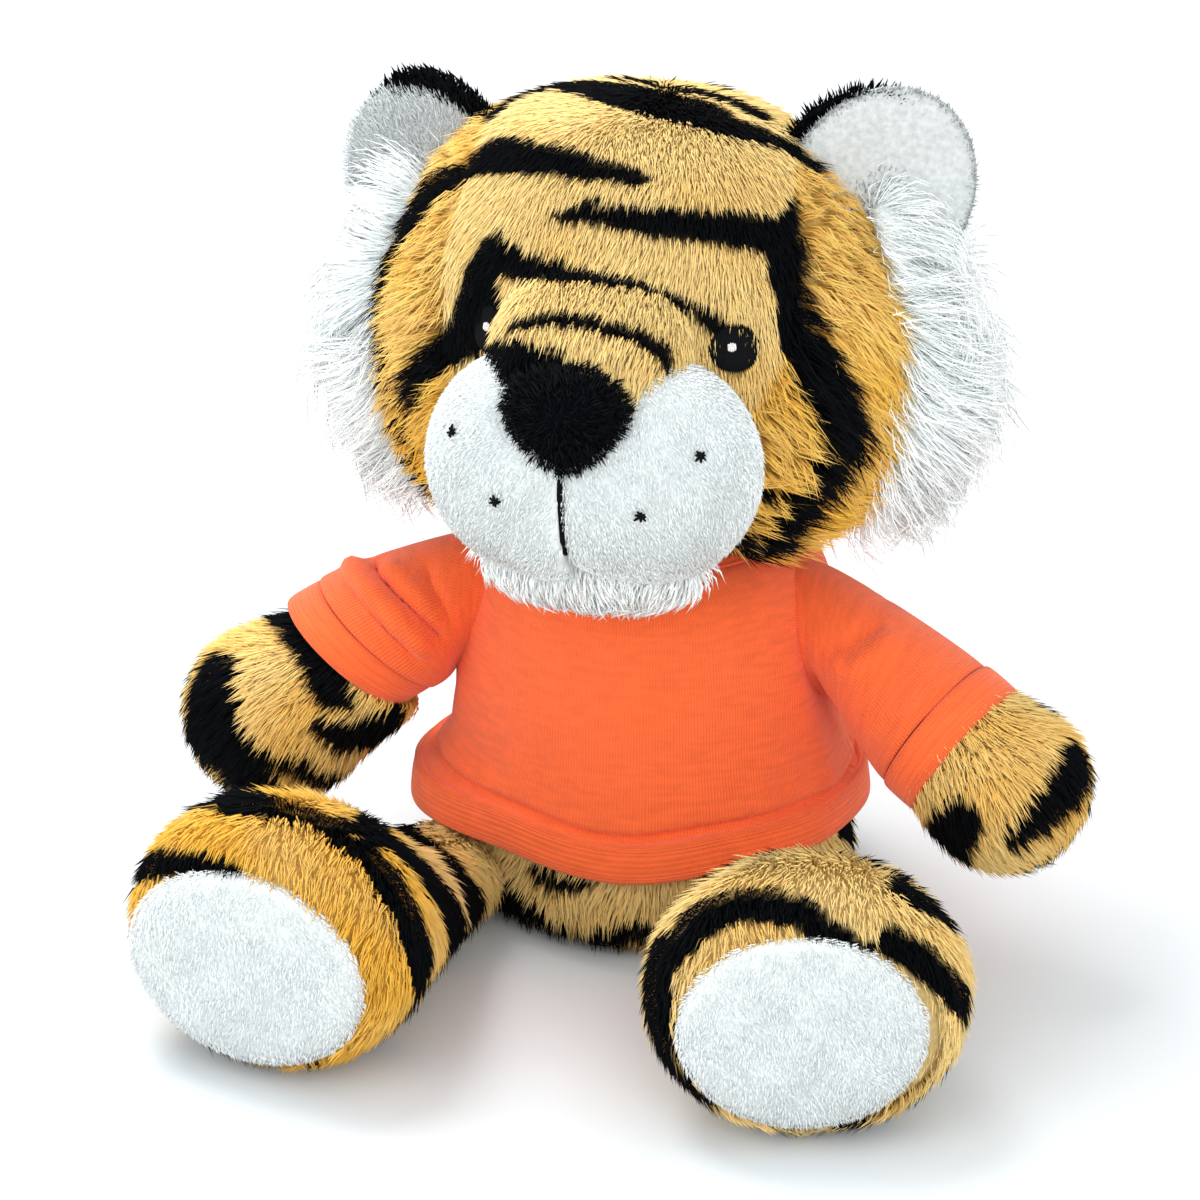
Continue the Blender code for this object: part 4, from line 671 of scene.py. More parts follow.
def place_object(name, data):
    made = bpy.data.objects.new(name, data)
    bpy.context.scene.collection.objects.link(made)
    return made


def evaluated(thing):
    """A copy of a piece's mesh with its modifiers done."""
    graph = bpy.context.evaluated_depsgraph_get()
    return bpy.data.meshes.new_from_object(thing.evaluated_get(graph), depsgraph=graph)


def settled(thing):
    """A piece whose modifiers have become its mesh."""
    data = evaluated(thing)
    thing.modifiers.clear()
    thing.data = data
    return thing


def modifier(thing, kind, **settings):
    step = thing.modifiers.new(kind.lower(), kind)
    for key, value in settings.items():
        setattr(step, key, value)
    return step


def discard(*things):
    for thing in things:
        bpy.data.objects.remove(thing, do_unlink=True)


def new_mesh(name, points, faces, material=None):
    data = bpy.data.meshes.new(name)
    data.from_pydata([tuple(p) for p in points], [], [tuple(f) for f in faces])
    if material is not None:
        data.materials.append(material)
    return data


def face_outwards(data):
    work = bmesh.new()
    work.from_mesh(data)
    bmesh.ops.recalc_face_normals(work, faces=work.faces)
    work.to_mesh(data)
    work.free()
    data.shade_smooth()


def mesh_object(name, points, faces, material=None):
    data = new_mesh(name, points, faces, material)
    face_outwards(data)
    return place_object(name, data)


def faces_of(thing):
    return [tuple(p.vertices) for p in thing.data.polygons]


def quads(rows, columns, round_rows=False, round_columns=True, first=0):
    """The faces of a grid of points, which may close on itself either way."""
    faces = []
    for row in range(rows if round_rows else rows - 1):
        for column in range(columns if round_columns else columns - 1):
            a, b = row * columns + column, row * columns + (column + 1) % columns
            up = ((row + 1) % rows - row) * columns
            faces.append((first + a, first + b, first + b + up, first + a + up))
    return faces


def fan(ring, tip, sides):
    """The faces that close a ring of points with a tip."""
    return [(ring + (n + 1) % sides, ring + n, tip) for n in range(sides)]


def smooth_rows(rows, count):
    """Evenly spaced rows on a smooth curve through the given rows."""
    rows = np.array(rows, float)
    last = len(rows) - 1
    at = np.linspace(0, last, count)
    first = np.minimum(at.astype(int), last - 1)
    u = (at - first)[:, None]
    p, q, r, s = (rows[np.clip(first + k, 0, last)] for k in (-1, 0, 1, 2))
    return (2 * q + (r - p) * u + (2 * p - 5 * q + 4 * r - s) * u**2 + (3 * q - p - 3 * r + s) * u**3) / 2


def body_rows(rows, count, length, half_width, half_height):
    """Rows of (along, half width, half height, lift, pitch) from rows of shares of a body's sizes."""
    shares = smooth_rows(rows, count)
    made = np.zeros((count, 5))
    made[:, 0] = shares[:, 0] * length
    made[:, 1] = shares[:, 1] * half_width
    made[:, 2] = shares[:, 1] * half_height
    return made, shares


def inset_rows(rows, amount):
    """Rows of (along, half width, half height, ...) moved inwards along the surface's normal."""
    ahead = np.vstack((rows[1:], rows[-1:])) - np.vstack((rows[:1], rows[:-1]))
    rise, widening = ahead[:, 0], (ahead[:, 1] + ahead[:, 2]) / 2
    length = np.maximum(np.hypot(rise, widening), TINY)
    way = np.sign(rows[-1, 0] - rows[0, 0])
    made = rows.copy()
    made[:, 0] += amount * way * widening / length
    for k in (1, 2):
        made[:, k] = np.maximum(rows[:, k] - amount * way * rise / length, LEAST_RADIUS)
    return made


def ring_points(rows, sides, axes=((1, 0, 0), (0, 1, 0), (0, 0, 1)), origin=(0, 0, 0)):
    """Loops of points for rows of (along, half width, half height, lift, pitch)."""
    turn = np.linspace(0, math.tau, sides, endpoint=False)
    along, width, height, lift, pitch = (rows[:, k, None] for k in range(5))
    across = width * np.cos(turn)
    up = height * np.sin(turn)
    x, y, z = (np.array(a, float) for a in axes)
    return origin + across[..., None] * x + (lift + up)[..., None] * y + (along - pitch * up)[..., None] * z


def lofted(name, loops, material=None):
    """A mesh through loops of points, with both ends closed by fans."""
    rows, sides = loops.shape[:2]
    points = [*loops.reshape(-1, 3), loops[0].mean(0), loops[-1].mean(0)]
    faces = quads(rows, sides)
    for row, tip in ((0, rows * sides), (rows - 1, rows * sides + 1)):
        faces += [(b, a, tip) for a, b, tip in fan(row * sides, tip, sides)]
    return mesh_object(name, points, faces, material)


def ball_object(name, centre, size, turn=None, segments=40, levels=24, shape=None):
    """A ball of rings, which a function may shape before it is turned into its place."""
    rise = np.linspace(-math.pi / 2, math.pi / 2, levels + 1)[1:-1]
    around = np.linspace(0, math.tau, segments, endpoint=False)
    x = np.cos(rise)[:, None] * np.cos(around)
    y = np.cos(rise)[:, None] * np.sin(around)
    z = np.repeat(np.sin(rise)[:, None], segments, 1)
    points = np.stack((x, y, z), -1)
    points = np.concatenate((points.reshape(-1, 3), ((0, 0, -1), (0, 0, 1)))) * size
    if shape is not None:
        points = shape(points)
    if turn is not None:
        points = points @ np.array(turn).T
    rows = levels - 1
    top = (rows - 1) * segments
    faces = quads(rows, segments)
    for low, high in zip(fan(0, rows * segments, segments), fan(top, rows * segments + 1, segments)):
        faces += [low, (high[1], high[0], high[2])]
    return mesh_object(name, points + centre, faces)


def vertices(thing):
    places = np.empty(len(thing.data.vertices) * 3, np.float32)
    thing.data.vertices.foreach_get("co", places)
    return places.reshape(-1, 3).astype(float)


def normals(thing):
    found = np.empty(len(thing.data.vertices) * 3, np.float32)
    thing.data.vertex_normals.foreach_get("vector", found)
    return found.reshape(-1, 3).astype(float)


def corner_vertices(data):
    index = np.empty(len(data.loops), np.int32)
    data.loops.foreach_get("vertex_index", index)
    return index


def lay_map(data, name, places):
    """Gives a mesh a UV map with a place for each corner of its faces."""
    data.uv_layers.new(name=name).uv.foreach_set("vector", np.asarray(places, np.float32).ravel())


def move_vertices(thing, places):
    thing.data.vertices.foreach_set("co", places.astype(np.float32).ravel())
    thing.data.update()


def above_floor(thing):
    """Keeps every point of a skin just off the floor."""
    places = vertices(thing)
    places[:, 2] = np.maximum(places[:, 2], FLOOR_GAP)
    move_vertices(thing, places)


def set_values(thing, name, kind, values):
    held = thing.data.attributes.get(name) or thing.data.attributes.new(name, kind, "POINT")
    field = {"FLOAT": "value", "FLOAT_VECTOR": "vector", "FLOAT_COLOR": "color"}[kind]
    held.data.foreach_set(field, np.ascontiguousarray(values, np.float32).ravel())


def set_colours(thing, colours):
    """Paints each point with a colour, which its pile or its backing shows."""
    set_values(thing, "coat", "FLOAT_COLOR", np.hstack((np.clip(colours, 0, 1), np.ones((len(colours), 1)))))


def unit(vectors):
    return vectors / np.maximum(np.linalg.norm(vectors, axis=-1, keepdims=True), TINY)


def dot(a, b):
    return (a * b).sum(-1)


def along_surface(ways, facing):
    """The part of each way that lies in the surface, as a unit vector."""
    return unit(ways - facing * dot(ways, facing)[:, None])


def ripple(places, wavelength, phase):
    """Smooth noise from -1 to 1 that a few crossed waves make."""
    total = np.zeros(len(places))
    for n in range(5):
        bearing = np.array((math.sin(2.4 * n + phase), math.cos(1.7 * n + 2 * phase), math.sin(3.1 * n + 0.7)))
        bearing *= math.tau / (wavelength * (0.7 + 0.22 * n) * np.linalg.norm(bearing))
        total += np.sin(places @ bearing + 1.9 * n + 3 * phase)
    return total / 3.2


def swirls(places, wavelength):
    """A way at each place that wanders smoothly."""
    return np.stack([ripple(places, wavelength, 3 + n) for n in range(3)], 1)


def smooth_step(values, low, high):
    share = np.clip((values - low) / (high - low), 0, 1)
    return share * share * (3 - 2 * share)


# Camera rays


def camera_axes():
    a, e = CAMERA_AZIMUTH, CAMERA_ELEVATION
    back = Vector((math.sin(a) * math.cos(e), -math.cos(a) * math.cos(e), math.sin(e)))
    right = Vector((math.cos(a), math.sin(a), 0))
    return right, back.cross(right), back


def pixel_ray(across, down):
    right, up, back = camera_axes()
    x = (across - PIXELS / 2 + CAMERA_SHIFT[0]) / CAMERA_FOCUS
    y = (down - PIXELS / 2 - CAMERA_SHIFT[1]) / CAMERA_FOCUS
    return CAMERA_TARGET + back * CAMERA_DISTANCE, (right * x - up * y - back).normalized()


def seen_place(across, down, hull):
    """Where a pixel's ray meets a hull, or the hull's point nearest to the ray."""
    start, way = pixel_ray(across, down)
    hit = hull.ray_cast(start, way)[0]
    if hit is not None:
        return np.array(hit)
    tried = [hull.find_nearest(start + way * CAMERA_DISTANCE * share) for share in np.linspace(0.85, 1.15, 61)]
    return np.array(min(tried, key=lambda near: near[3])[0])


def hull_of(thing, shift=0.0):
    """A piece's surface for rays and nearest places, shifted at each point."""
    return BVHTree.FromPolygons((vertices(thing) + shift).tolist(), faces_of(thing))


def print_routes(routes, thing, pile, spread):
    """Stripe routes in pixels as lines in the middle of the pile: places and half widths in metres."""
    hull = hull_of(thing, PRINT_SHARE * pile)
    flat = CAMERA_DISTANCE / CAMERA_FOCUS
    made = []
    for route in routes:
        pixels = np.array([(x, y) for x, y, _ in route], float)
        halves = np.array([half for _, _, half in route], float)
        ways = unit(np.gradient(pixels, axis=0) + 1e-6)
        aside = np.stack((-ways[:, 1], ways[:, 0]), 1) * halves[:, None]
        edges = pixels, pixels - aside, pixels + aside
        places, low, high = (np.array([seen_place(x, y, hull) for x, y in spots]) for spots in edges)
        wide = np.linalg.norm(high - low, axis=1) / 2
        made.append((places, spread * np.clip(wide, flat * halves, STRIPE_SLANT * flat * halves)))
    return made


def over_skin(thing, pile):
    """The middle of the pile straight above each point of the skin."""
    facing = normals(thing)
    return vertices(thing) + facing * PRINT_SHARE * dot(pile, facing)[:, None]


def stripe_depth(places, facing, lines):
    """How far inside the nearest stripe each place is, in metres. Places outside are below zero."""
    deepest = np.full(len(places), -1.0)
    for line, halves in lines:
        reach = halves.max() + 12 * MM
        box = np.all((places > line.min(0) - reach) & (places < line.max(0) + reach), axis=1)
        index = np.nonzero(box)[0]
        if not len(index):
            continue
        spots, ways = places[index], facing[index]
        for start, end, low, high in zip(line, line[1:], halves, halves[1:]):
            step = end - start
            share = np.clip(((spots - start) @ step) / max(step @ step, 1e-12), 0, 1)
            gap = spots - start - share[:, None] * step
            above = dot(gap, ways)
            gap = gap - ways * above[:, None]
            inside = low + (high - low) * share - np.linalg.norm(gap, axis=1)
            inside[np.abs(above) > 14 * MM] = -1.0
            deepest[index] = np.maximum(deepest[index], inside)
    return deepest


# Plush


class Plush:
    """What the plush pieces share: the pile tree, materials and colours."""

    def __init__(self):
        chosen = bpy.context.scene.plush_tiger_plush
        self.chosen = chosen
        self.tree = pile_tree()
        # Each fibre's two factors paint shade at the root and light at the tip; the shaggy cheek pile has the
        # most painted shade.
        self.fibre = plush_fibre("brushed polyester pile", 0.72, 1.12)
        self.long_fibre = plush_fibre("long brushed polyester pile", 1.0, 1.08)
        self.cheek_fibre = plush_fibre("shaggy polyester pile", 0.45, 1.38)
        # The backings' factors darken the coat: painted shade of the pile that stands over them.
        self.backing = plush_backing("polyester plush backing", 0.62)
        self.velour_backing = plush_backing("polyester velour backing", 0.95)
        self.gold, self.amber = np.array(chosen.gold), np.array(chosen.amber)
        self.black, self.white = np.array(chosen.black), np.array(chosen.white)
        # The white raised to full brightness: painted light for the ruffs and chin, against the shade between
        # their long strands.
        self.bright = self.white / self.white.max()

    def ground(self, tone):
        """The pile's ground colour, from gold at 0 to amber at 1."""
        return self.gold * (1 - tone) + self.amber * tone


shared = {}


def plush():
    if "plush" not in shared:
        shared["plush"] = Plush()
    return shared["plush"]


def grow_pile(name, base, pile, cover, paint, length, per_mm2, width, fibre=None, **look):
    """Covers part of a base with strands, and paints each one by where it stands."""
    kit = plush()
    set_values(base, "pile", "FLOAT_VECTOR", pile)
    set_values(base, "cover", "FLOAT", np.clip(cover, 0, 1))
    look = {**USUAL_LOOK, **look}
    values = {
        "Density": per_mm2 * PER_METRE_2 * DENSITY_BEFORE_GAPS,
        "Least Gap": GAP_SHARE / math.sqrt(per_mm2) * MM,
        "Rings": look["rings"],
        "Width Share": width / length,
        "Bend Share": look["bend"],
        "Length Spread": look["spread"],
        "Fray": look["fray"],
        "Tuft Density": PER_METRE_2 / look["tuft"] ** 2,
        "Tuft Pull": look["pull"],
        "Seed": kit.chosen.seed + len(name),
        "Material": fibre or kit.fibre,
    }
    made = grown_by(name, base, kit.tree, values)
    corners = 2 + 3 * (look["rings"] - 1)
    places = vertices(made)
    strands = places.reshape(-1, corners, 3)
    facing = strand_facing(base, strands[:, 0])
    colours = paint(strands[:, 0] * (1 - PRINT_SHARE) + strands[:, -1] * PRINT_SHARE, facing)
    rng = np.random.default_rng(kit.chosen.seed)
    each = len(colours), 1
    colours = colours * (1 + 0.05 * rng.standard_normal(each)) + 0.005 * rng.random(each)
    set_colours(made, np.repeat(colours, corners, 0))
    under = places[:, 2] < PILE_ON_FLOOR
    sunk = np.clip((places[under, 2] - PILE_ON_FLOOR) / (2 * MM), -3, 0)
    places[under, 2] = PILE_ON_FLOOR * np.exp(sunk)
    move_vertices(made, places)
    for attribute in ("pile", "cover"):
        if attribute in made.data.attributes:
            made.data.attributes.remove(made.data.attributes[attribute])
    lay_bake_map(made, corners)
    made.data.shade_smooth()
    soft = unit(look["softness"] * np.repeat(facing, corners, 0) + (1 - look["softness"]) * normals(made))
    made.data.normals_split_custom_set_from_vertices(soft.astype(np.float32))
    return made


def strand_facing(base, roots):
    """The base's normal at each root, from the face under it."""
    hull = BVHTree.FromPolygons([v.co for v in base.data.vertices], faces_of(base))
    return np.array([tuple(hull.find_nearest(Vector(root))[1]) for root in roots])


def lay_bake_map(thing, corners):
    """A UV map for the export that gives each strand its own cell, with its length upwards."""
    data = thing.data
    index = corner_vertices(data)
    along = np.empty(len(data.vertices), np.float32)
    data.attributes["along"].data.foreach_get("value", along)
    strand = index // corners
    side = math.ceil(math.sqrt(int(strand.max()) + 1))
    across = 0.2 + 0.6 * ((index % corners) % 3) / 2
    places = ((strand % side + across) / side, (strand // side + 0.15 + 0.7 * along[index]) / side)
    lay_map(data, "OFBake", np.stack(places, 1))


def printed(kit, ground, depth, places):
    """Ground colour where a place is outside the stripes, and black inside, with a ragged edge."""
    rough = depth + 0.45 * MM * ripple(places, 5 * MM, 1.0) + 0.3 * MM * ripple(places, 1.6 * MM, 2.0)
    share = smooth_step(rough, -PRINT_EDGE, PRINT_EDGE)[:, None]
    return ground * (1 - share) + kit.black * share


def ring_stripe(values, places, period, width, phase):
    """Wavy rings for the sides that the photograph doesn't show: how far inside a ring each value is."""
    wavy = values + 2.6 * MM * ripple(places, 26 * MM, phase) + 1.1 * MM * ripple(places, 11 * MM, phase + 1)
    near = np.abs((wavy / period + 0.5) % 1 - 0.5) * period
    return width * (0.62 + 0.5 * ripple(places, 34 * MM, phase + 2)) - near


def seen_share(places, facing):
    """1 where the surface faces the camera of the photograph, 0 where it faces away."""
    start = np.array(CAMERA_TARGET + camera_axes()[2] * CAMERA_DISTANCE)
    return smooth_step(dot(facing, unit(start - places)), -0.12, 0.12)


def leaning(facing, comb, length, lean):
    """Strand vectors: the normal leaned over along the comb by an angle in degrees."""
    lean = np.radians(np.broadcast_to(lean, (len(facing),)))[:, None]
    length = np.broadcast_to(length, (len(facing),))[:, None]
    return (facing * np.cos(lean) + comb * np.sin(lean)) * length


def printed_skin(base, way, swirl, length, lean, routes, rings, tone):
    """Combs and prints a stuffed skin. Its strands follow a way with swirls of a strength and a size.

    rings gives the guessed rings at each place for ring_stripe, and tone the share of amber."""
    kit = plush()
    facing, places = normals(base), vertices(base)
    comb = along_surface(way + swirl[0] * swirls(places, swirl[1]), facing)
    pile = leaning(facing, comb, length, lean)
    lines = print_routes(routes, base, pile, PRINT_SPREAD["body"])

    def paint(places, facing):
        depth = stripe_depth(places, facing, lines)
        hidden = ring_stripe(*rings(places))
        depth = np.where(seen_share(places, facing) > 0.5, depth, np.maximum(depth, hidden))
        return printed(kit, kit.ground(tone(places)[:, None]), depth, places)

    set_colours(base, paint(over_skin(base, pile), facing))
    return facing, places, pile, paint


def ride_on(thing, body, slot, *nodes):
    """Puts a piece on its body, in its slot, and in place of its CAD nodes."""
    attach(thing, body)
    if nodes:
        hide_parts(*nodes)


def finish_piece(thing, body, slot, *nodes):
    ride_on(thing, body, slot, *nodes)


def plump(skin, voxel=4 * MM):
    """Swells a stuffed skin with Blender's Cloth, as filling does, by no more than a set depth."""
    sack = mesh_object(skin.name + "_sack", vertices(skin), faces_of(skin))
    modifier(sack, "REMESH", mode="VOXEL", voxel_size=voxel)
    still, faces = vertices(settled(sack)), faces_of(sack)
    cloth = modifier(sack, "CLOTH")
    cloth.settings.use_pressure = True
    cloth.settings.uniform_pressure_force = PRESSURE
    cloth.settings.effector_weights.gravity = 0
    cloth.settings.quality = 6
    cloth.settings.mass = 0.1
    for stiffness in ("tension", "compression", "shear"):
        setattr(cloth.settings, stiffness + "_stiffness", 2.0)
    cloth.settings.bending_stiffness = 0.1
    cloth.collision_settings.use_collision = False
    cloth.point_cache.frame_start = 1
    cloth.point_cache.frame_end = CLOTH_FRAMES
    for number in range(1, CLOTH_FRAMES + 1):
        bpy.context.scene.frame_set(number)
    moved = vertices(settled(sack)) - still
    hull = BVHTree.FromPolygons(still.tolist(), faces)
    places = vertices(skin)
    shift = np.zeros_like(places)
    for n, place in enumerate(places):
        near, _, index, _ = hull.find_nearest(Vector(place))
        corners = list(faces[index])
        weight = 1 / (np.linalg.norm(still[corners] - np.array(near), axis=1) + 0.2 * voxel)
        shift[n] = (moved[corners] * weight[:, None]).sum(0) / weight.sum()
    length = np.linalg.norm(shift, axis=1, keepdims=True)
    shift *= np.minimum(1, PLUMP_CAP / np.maximum(length, TINY))
    move_vertices(skin, places + shift)
    above_floor(skin)
    bpy.context.scene.frame_set(1)
    discard(sack)


# Torso


def torso_rows(count):
    return body_rows(TORSO_ROWS, count, TORSO_HEIGHT, TORSO_HALF_WIDTH, TORSO_HALF_DEPTH)[0]


def make_torso():
    kit = plush()
    rows = inset_rows(torso_rows(44), SKIN_INSETS["torso"])
    rows[:, 0] = np.maximum(rows[:, 0], FLOOR_GAP)
    base = lofted("torso_stuffed_skin", ring_points(rows, 96), kit.backing)
    plump(base)

    def rings(places):
        return places[:, 2] - 4 * MM, places, 15 * MM, 4.4 * MM, 0.3

    def tone(places):
        return smooth_step(ripple(places, 30 * MM, 4.0), -0.6, 1.0) * 0.3

    length = kit.chosen.body_pile
    facing, places, pile, paint = printed_skin(
        base, -UP, (0.3, 16 * MM), length, 46, BELLY_STRIPES, rings, tone
    )
    cover = smooth_step(places[:, 2], *TORSO_COVER) * smooth_step(facing[:, 2], -0.97, -0.85)
    back = smooth_step(places[:, 1], -1 * MM, 1 * MM)
    finish_piece(base, "torso", "orange_plush", "torso_stuffing", "torso_base", "seat_bean_bag")
    for part, share in (("front", 1 - back), ("back", back)):
        look = LOOKS["torso " + part]
        fur = grow_pile(f"torso_{part}_pile", base, pile, cover * share, paint, length, **look)
        finish_piece(fur, "torso", "orange_plush", f"torso_{part}_panel")


# Head


def cheek_share(places):
    """1 on the cheeks and 0 on the crown, either side of the crown's seam."""
    seam = np.array(CROWN_SEAM)
    width = np.interp((places[:, 2] - NECK[2]) / HEAD_HEIGHT, seam[:, 0], seam[:, 1]) * HEAD_HALF_WIDTH
    return smooth_step(np.abs(places[:, 0]) - width, -0.4 * MM, 0.4 * MM)


def clear_of(thing, hull, gap):
    """Moves the points of a piece that lie inside a hull onto its outside, so that the two only touch."""
    places = vertices(thing)
    for n, place in enumerate(places):
        near, facing, _, _ = hull.find_nearest(Vector(place))
        if (Vector(place) - near).dot(facing) < gap:
            places[n] = np.array(near + facing * gap)
    move_vertices(thing, places)


def sway(points):
    """The stuffing leans the crown a little to one side."""
    points[..., 0] += HEAD_SWAY * smooth_step(points[..., 2], NECK[2] + 40 * MM, NECK[2] + 78 * MM)
    return points


def merged(name, parts):
    """One smooth skin round several closed pieces."""
    faces, first = [], 0
    for part in parts:
        faces += [tuple(first + n for n in face) for face in faces_of(part)]
        first += len(part.data.vertices)
    made = mesh_object(name, np.concatenate([vertices(part) for part in parts]), faces)
    modifier(made, "REMESH", mode="VOXEL", voxel_size=1.5 * MM)
    modifier(made, "SMOOTH", factor=0.6, iterations=7)
    return settled(made)


def under_pads(places):
    """1 where the muzzle covers the head."""
    covered = np.zeros(len(places))
    for side, _ in SIDES:
        away = (places - PADS_CENTRE * (side, 1, 1)) / (PADS_SIZE - 2 * MM)
        covered = np.maximum(covered, np.linalg.norm(away, axis=1) < 1)
    return covered


def on_bridge(places):
    """1 on the bridge of the muzzle, 0 on the rest of the head."""
    turn = np.array(Matrix.Rotation(BRIDGE_TILT, 3, "X"))
    share = np.linalg.norm(((places - BRIDGE_CENTRE) @ turn) / BRIDGE_SIZE, axis=1)
    return smooth_step(share, 1.04, 1.0)


def head_pile(places, facing):
    """The head's strands: out from the crown, down over the cheeks, longer there and short on the face."""
    chosen = plush().chosen
    cheek = cheek_share(places)
    from_pole = along_surface(places - (NECK + np.array((0, 12 * MM, HEAD_HEIGHT * 1.02))), facing)
    outwards = np.stack((np.sign(places[:, 0]), np.zeros(len(places)), -0.75 * np.ones(len(places))), 1)
    over_cheek = along_surface(outwards, facing)
    comb = along_surface(from_pole * (1 - cheek)[:, None] + over_cheek * cheek[:, None], facing)
    comb = along_surface(comb + 0.25 * swirls(places, 22 * MM), facing)
    face = np.clip(1 - np.linalg.norm((places - PADS_CENTRE * (0, 1, 1)) / FACE_RADIUS, axis=1), 0, 1)
    fluffy = 0.5 + 0.5 * smooth_step(places[:, 2], *(NECK[2] + np.array(FLUFFY_BELOW)))
    on_cheek = chosen.cheek_pile * (1 - 0.55 * smooth_step(face, 0.0, 0.5)) * fluffy
    lengths = chosen.crown_pile * (1 - cheek) + on_cheek * cheek
    lengths = lengths * (1 + 0.5 * on_bridge(places) * smooth_step(places[:, 1], -52 * MM, -64 * MM))
    return leaning(facing, comb, lengths, 57 - 12 * cheek)


def eye_place(side):
    """The middle of an eye on the head's surface, and the way it faces."""
    centre = np.array(sum(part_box("eye_left" if side > 0 else "eye_right"), Vector()) / 2)
    centre[0] += EYES_OUT[side]
    near, facing, _, _ = shared["face"].find_nearest(Vector(centre))
    return np.array(near), unit(np.array(facing) + unit(centre - NECK - UP * 0.42 * HEAD_HEIGHT))


def make_head():
    kit = plush()
    rows, shares = body_rows(HEAD_ROWS, 60, HEAD_HEIGHT, HEAD_HALF_WIDTH, HEAD_HALF_DEPTH)
    rows[:, 3] = -HEAD_LEAN * shares[:, 2]
    loops = sway(ring_points(inset_rows(rows, SKIN_INSETS["head"]), 110, origin=NECK))
    base = lofted("head_stuffed_skin", loops, kit.backing)
    plump(base)
    turn = Matrix.Rotation(BRIDGE_TILT, 3, "X")
    bridge = ball_object("muzzle_bridge_skin", BRIDGE_CENTRE, BRIDGE_SIZE - 1.8 * MM, turn, 48, 30)
    bridge.data.materials.append(kit.backing)
    guide = merged("head_guide", (base, bridge))
    shared["head"], shared["face"] = hull_of(base), hull_of(guide)
    clear_of(bridge, shared["head"], SKIN_GAP)
    facing, places = normals(guide), vertices(guide)
    pile = head_pile(places, facing)
    lines = print_routes(HEAD_STRIPES, guide, pile, PRINT_SPREAD["head"])

    def paint(places, facing):
        depth = stripe_depth(places, facing, lines)
        level = np.hypot(places[:, 2] - NECK[2], 0.35 * places[:, 0])
        hidden = ring_stripe(level, places, 19 * MM, 5.2 * MM, 1.3)
        depth = np.where(seen_share(places, facing) > 0.2, depth, np.maximum(depth, hidden))
        cheek = cheek_share(places)
        low = smooth_step(places[:, 2], NECK[2] + 55 * MM, NECK[2] + 20 * MM) * 0.3
        tone = np.clip(cheek * 0.55 + low + 0.2 * ripple(places, 18 * MM, 2.5), 0, 1)[:, None]
        locks = 1 + 0.16 * (cheek * ripple(places, 3.4 * MM, 7.0))[:, None]
        return printed(kit, kit.ground(tone) * locks, depth, places)

    for skin, node in ((base, "head_stuffing"), (bridge, "muzzle_bridge")):
        set_colours(skin, paint(over_skin(skin, head_pile(vertices(skin), normals(skin))), normals(skin)))
        finish_piece(skin, "head", "orange_plush", node)
    cheek, brow = cheek_share(places), on_bridge(places)
    clear = smooth_step(places[:, 2], NECK[2] + 1 * MM, NECK[2] + 4 * MM) * (1 - under_pads(places))
    for side, _ in SIDES:
        clear = clear * (np.linalg.norm(places - eye_place(side)[0], axis=1) > EYE_CLEARING)
    back = smooth_step(places[:, 1], 1 * MM, 2.5 * MM)
    left = smooth_step(places[:, 0], -0.1 * MM, 0.1 * MM)
    plain = clear * (1 - brow)
    plates = (
        ("head_crown_pile", plain * (1 - cheek) * (1 - back), "crown", ["head_crown_panel"]),
        ("head_back_pile", clear * (1 - cheek) * back, "head back", []),
        ("head_left_cheek_pile", plain * cheek * left, "cheek", ["head_left_cheek_panel"]),
        ("head_right_cheek_pile", plain * cheek * (1 - left), "cheek", ["head_right_cheek_panel"]),
        ("muzzle_bridge_pile", clear * brow, "crown", []),
    )
    for name, cover, look, nodes in plates:
        shaggy = look == "cheek"
        length = kit.chosen.cheek_pile if shaggy else kit.chosen.crown_pile
        fibre = kit.cheek_fibre if shaggy else kit.fibre
        fur = grow_pile(name, guide, pile, cover, paint, length, fibre=fibre, **LOOKS[look])
        finish_piece(fur, "head", "orange_plush", *nodes)
    discard(guide)


# Muzzle


def plain_paint(colour):
    def paint(places, facing):
        return np.tile(colour, (len(places), 1)) * (1 + 0.03 * ripple(places, 9 * MM, 0.5))[:, None]

    return paint


def velour_piece(name, base, body, slot, colour, comb_way, look, length=None, lean=48, cover=None):
    """A short-pile piece in place of its node: its stuffed skin and the velour fibres that stand on it."""
    kit = plush()
    length = length or kit.chosen.velour_pile
    paint = plain_paint(colour)
    facing, places = normals(base), vertices(base)
    set_colours(base, paint(places, facing))
    base.data.materials.append(kit.velour_backing)
    way = comb_way(places) if callable(comb_way) else np.tile(np.array(comb_way, float), (len(places), 1))
    comb = along_surface(along_surface(way, facing) + 0.5 * swirls(places, 12 * MM), facing)
    pile = leaning(facing, comb, length, lean)
    share = cover(places, facing) if cover else np.ones(len(places))
    look = {**LOOKS["velour"], **LOOKS[look]}
    fur = grow_pile(name + "_pile", base, pile, share, paint, length, fibre=kit.long_fibre, **look)
    finish_piece(base, body, slot, name)
    finish_piece(fur, body, slot)


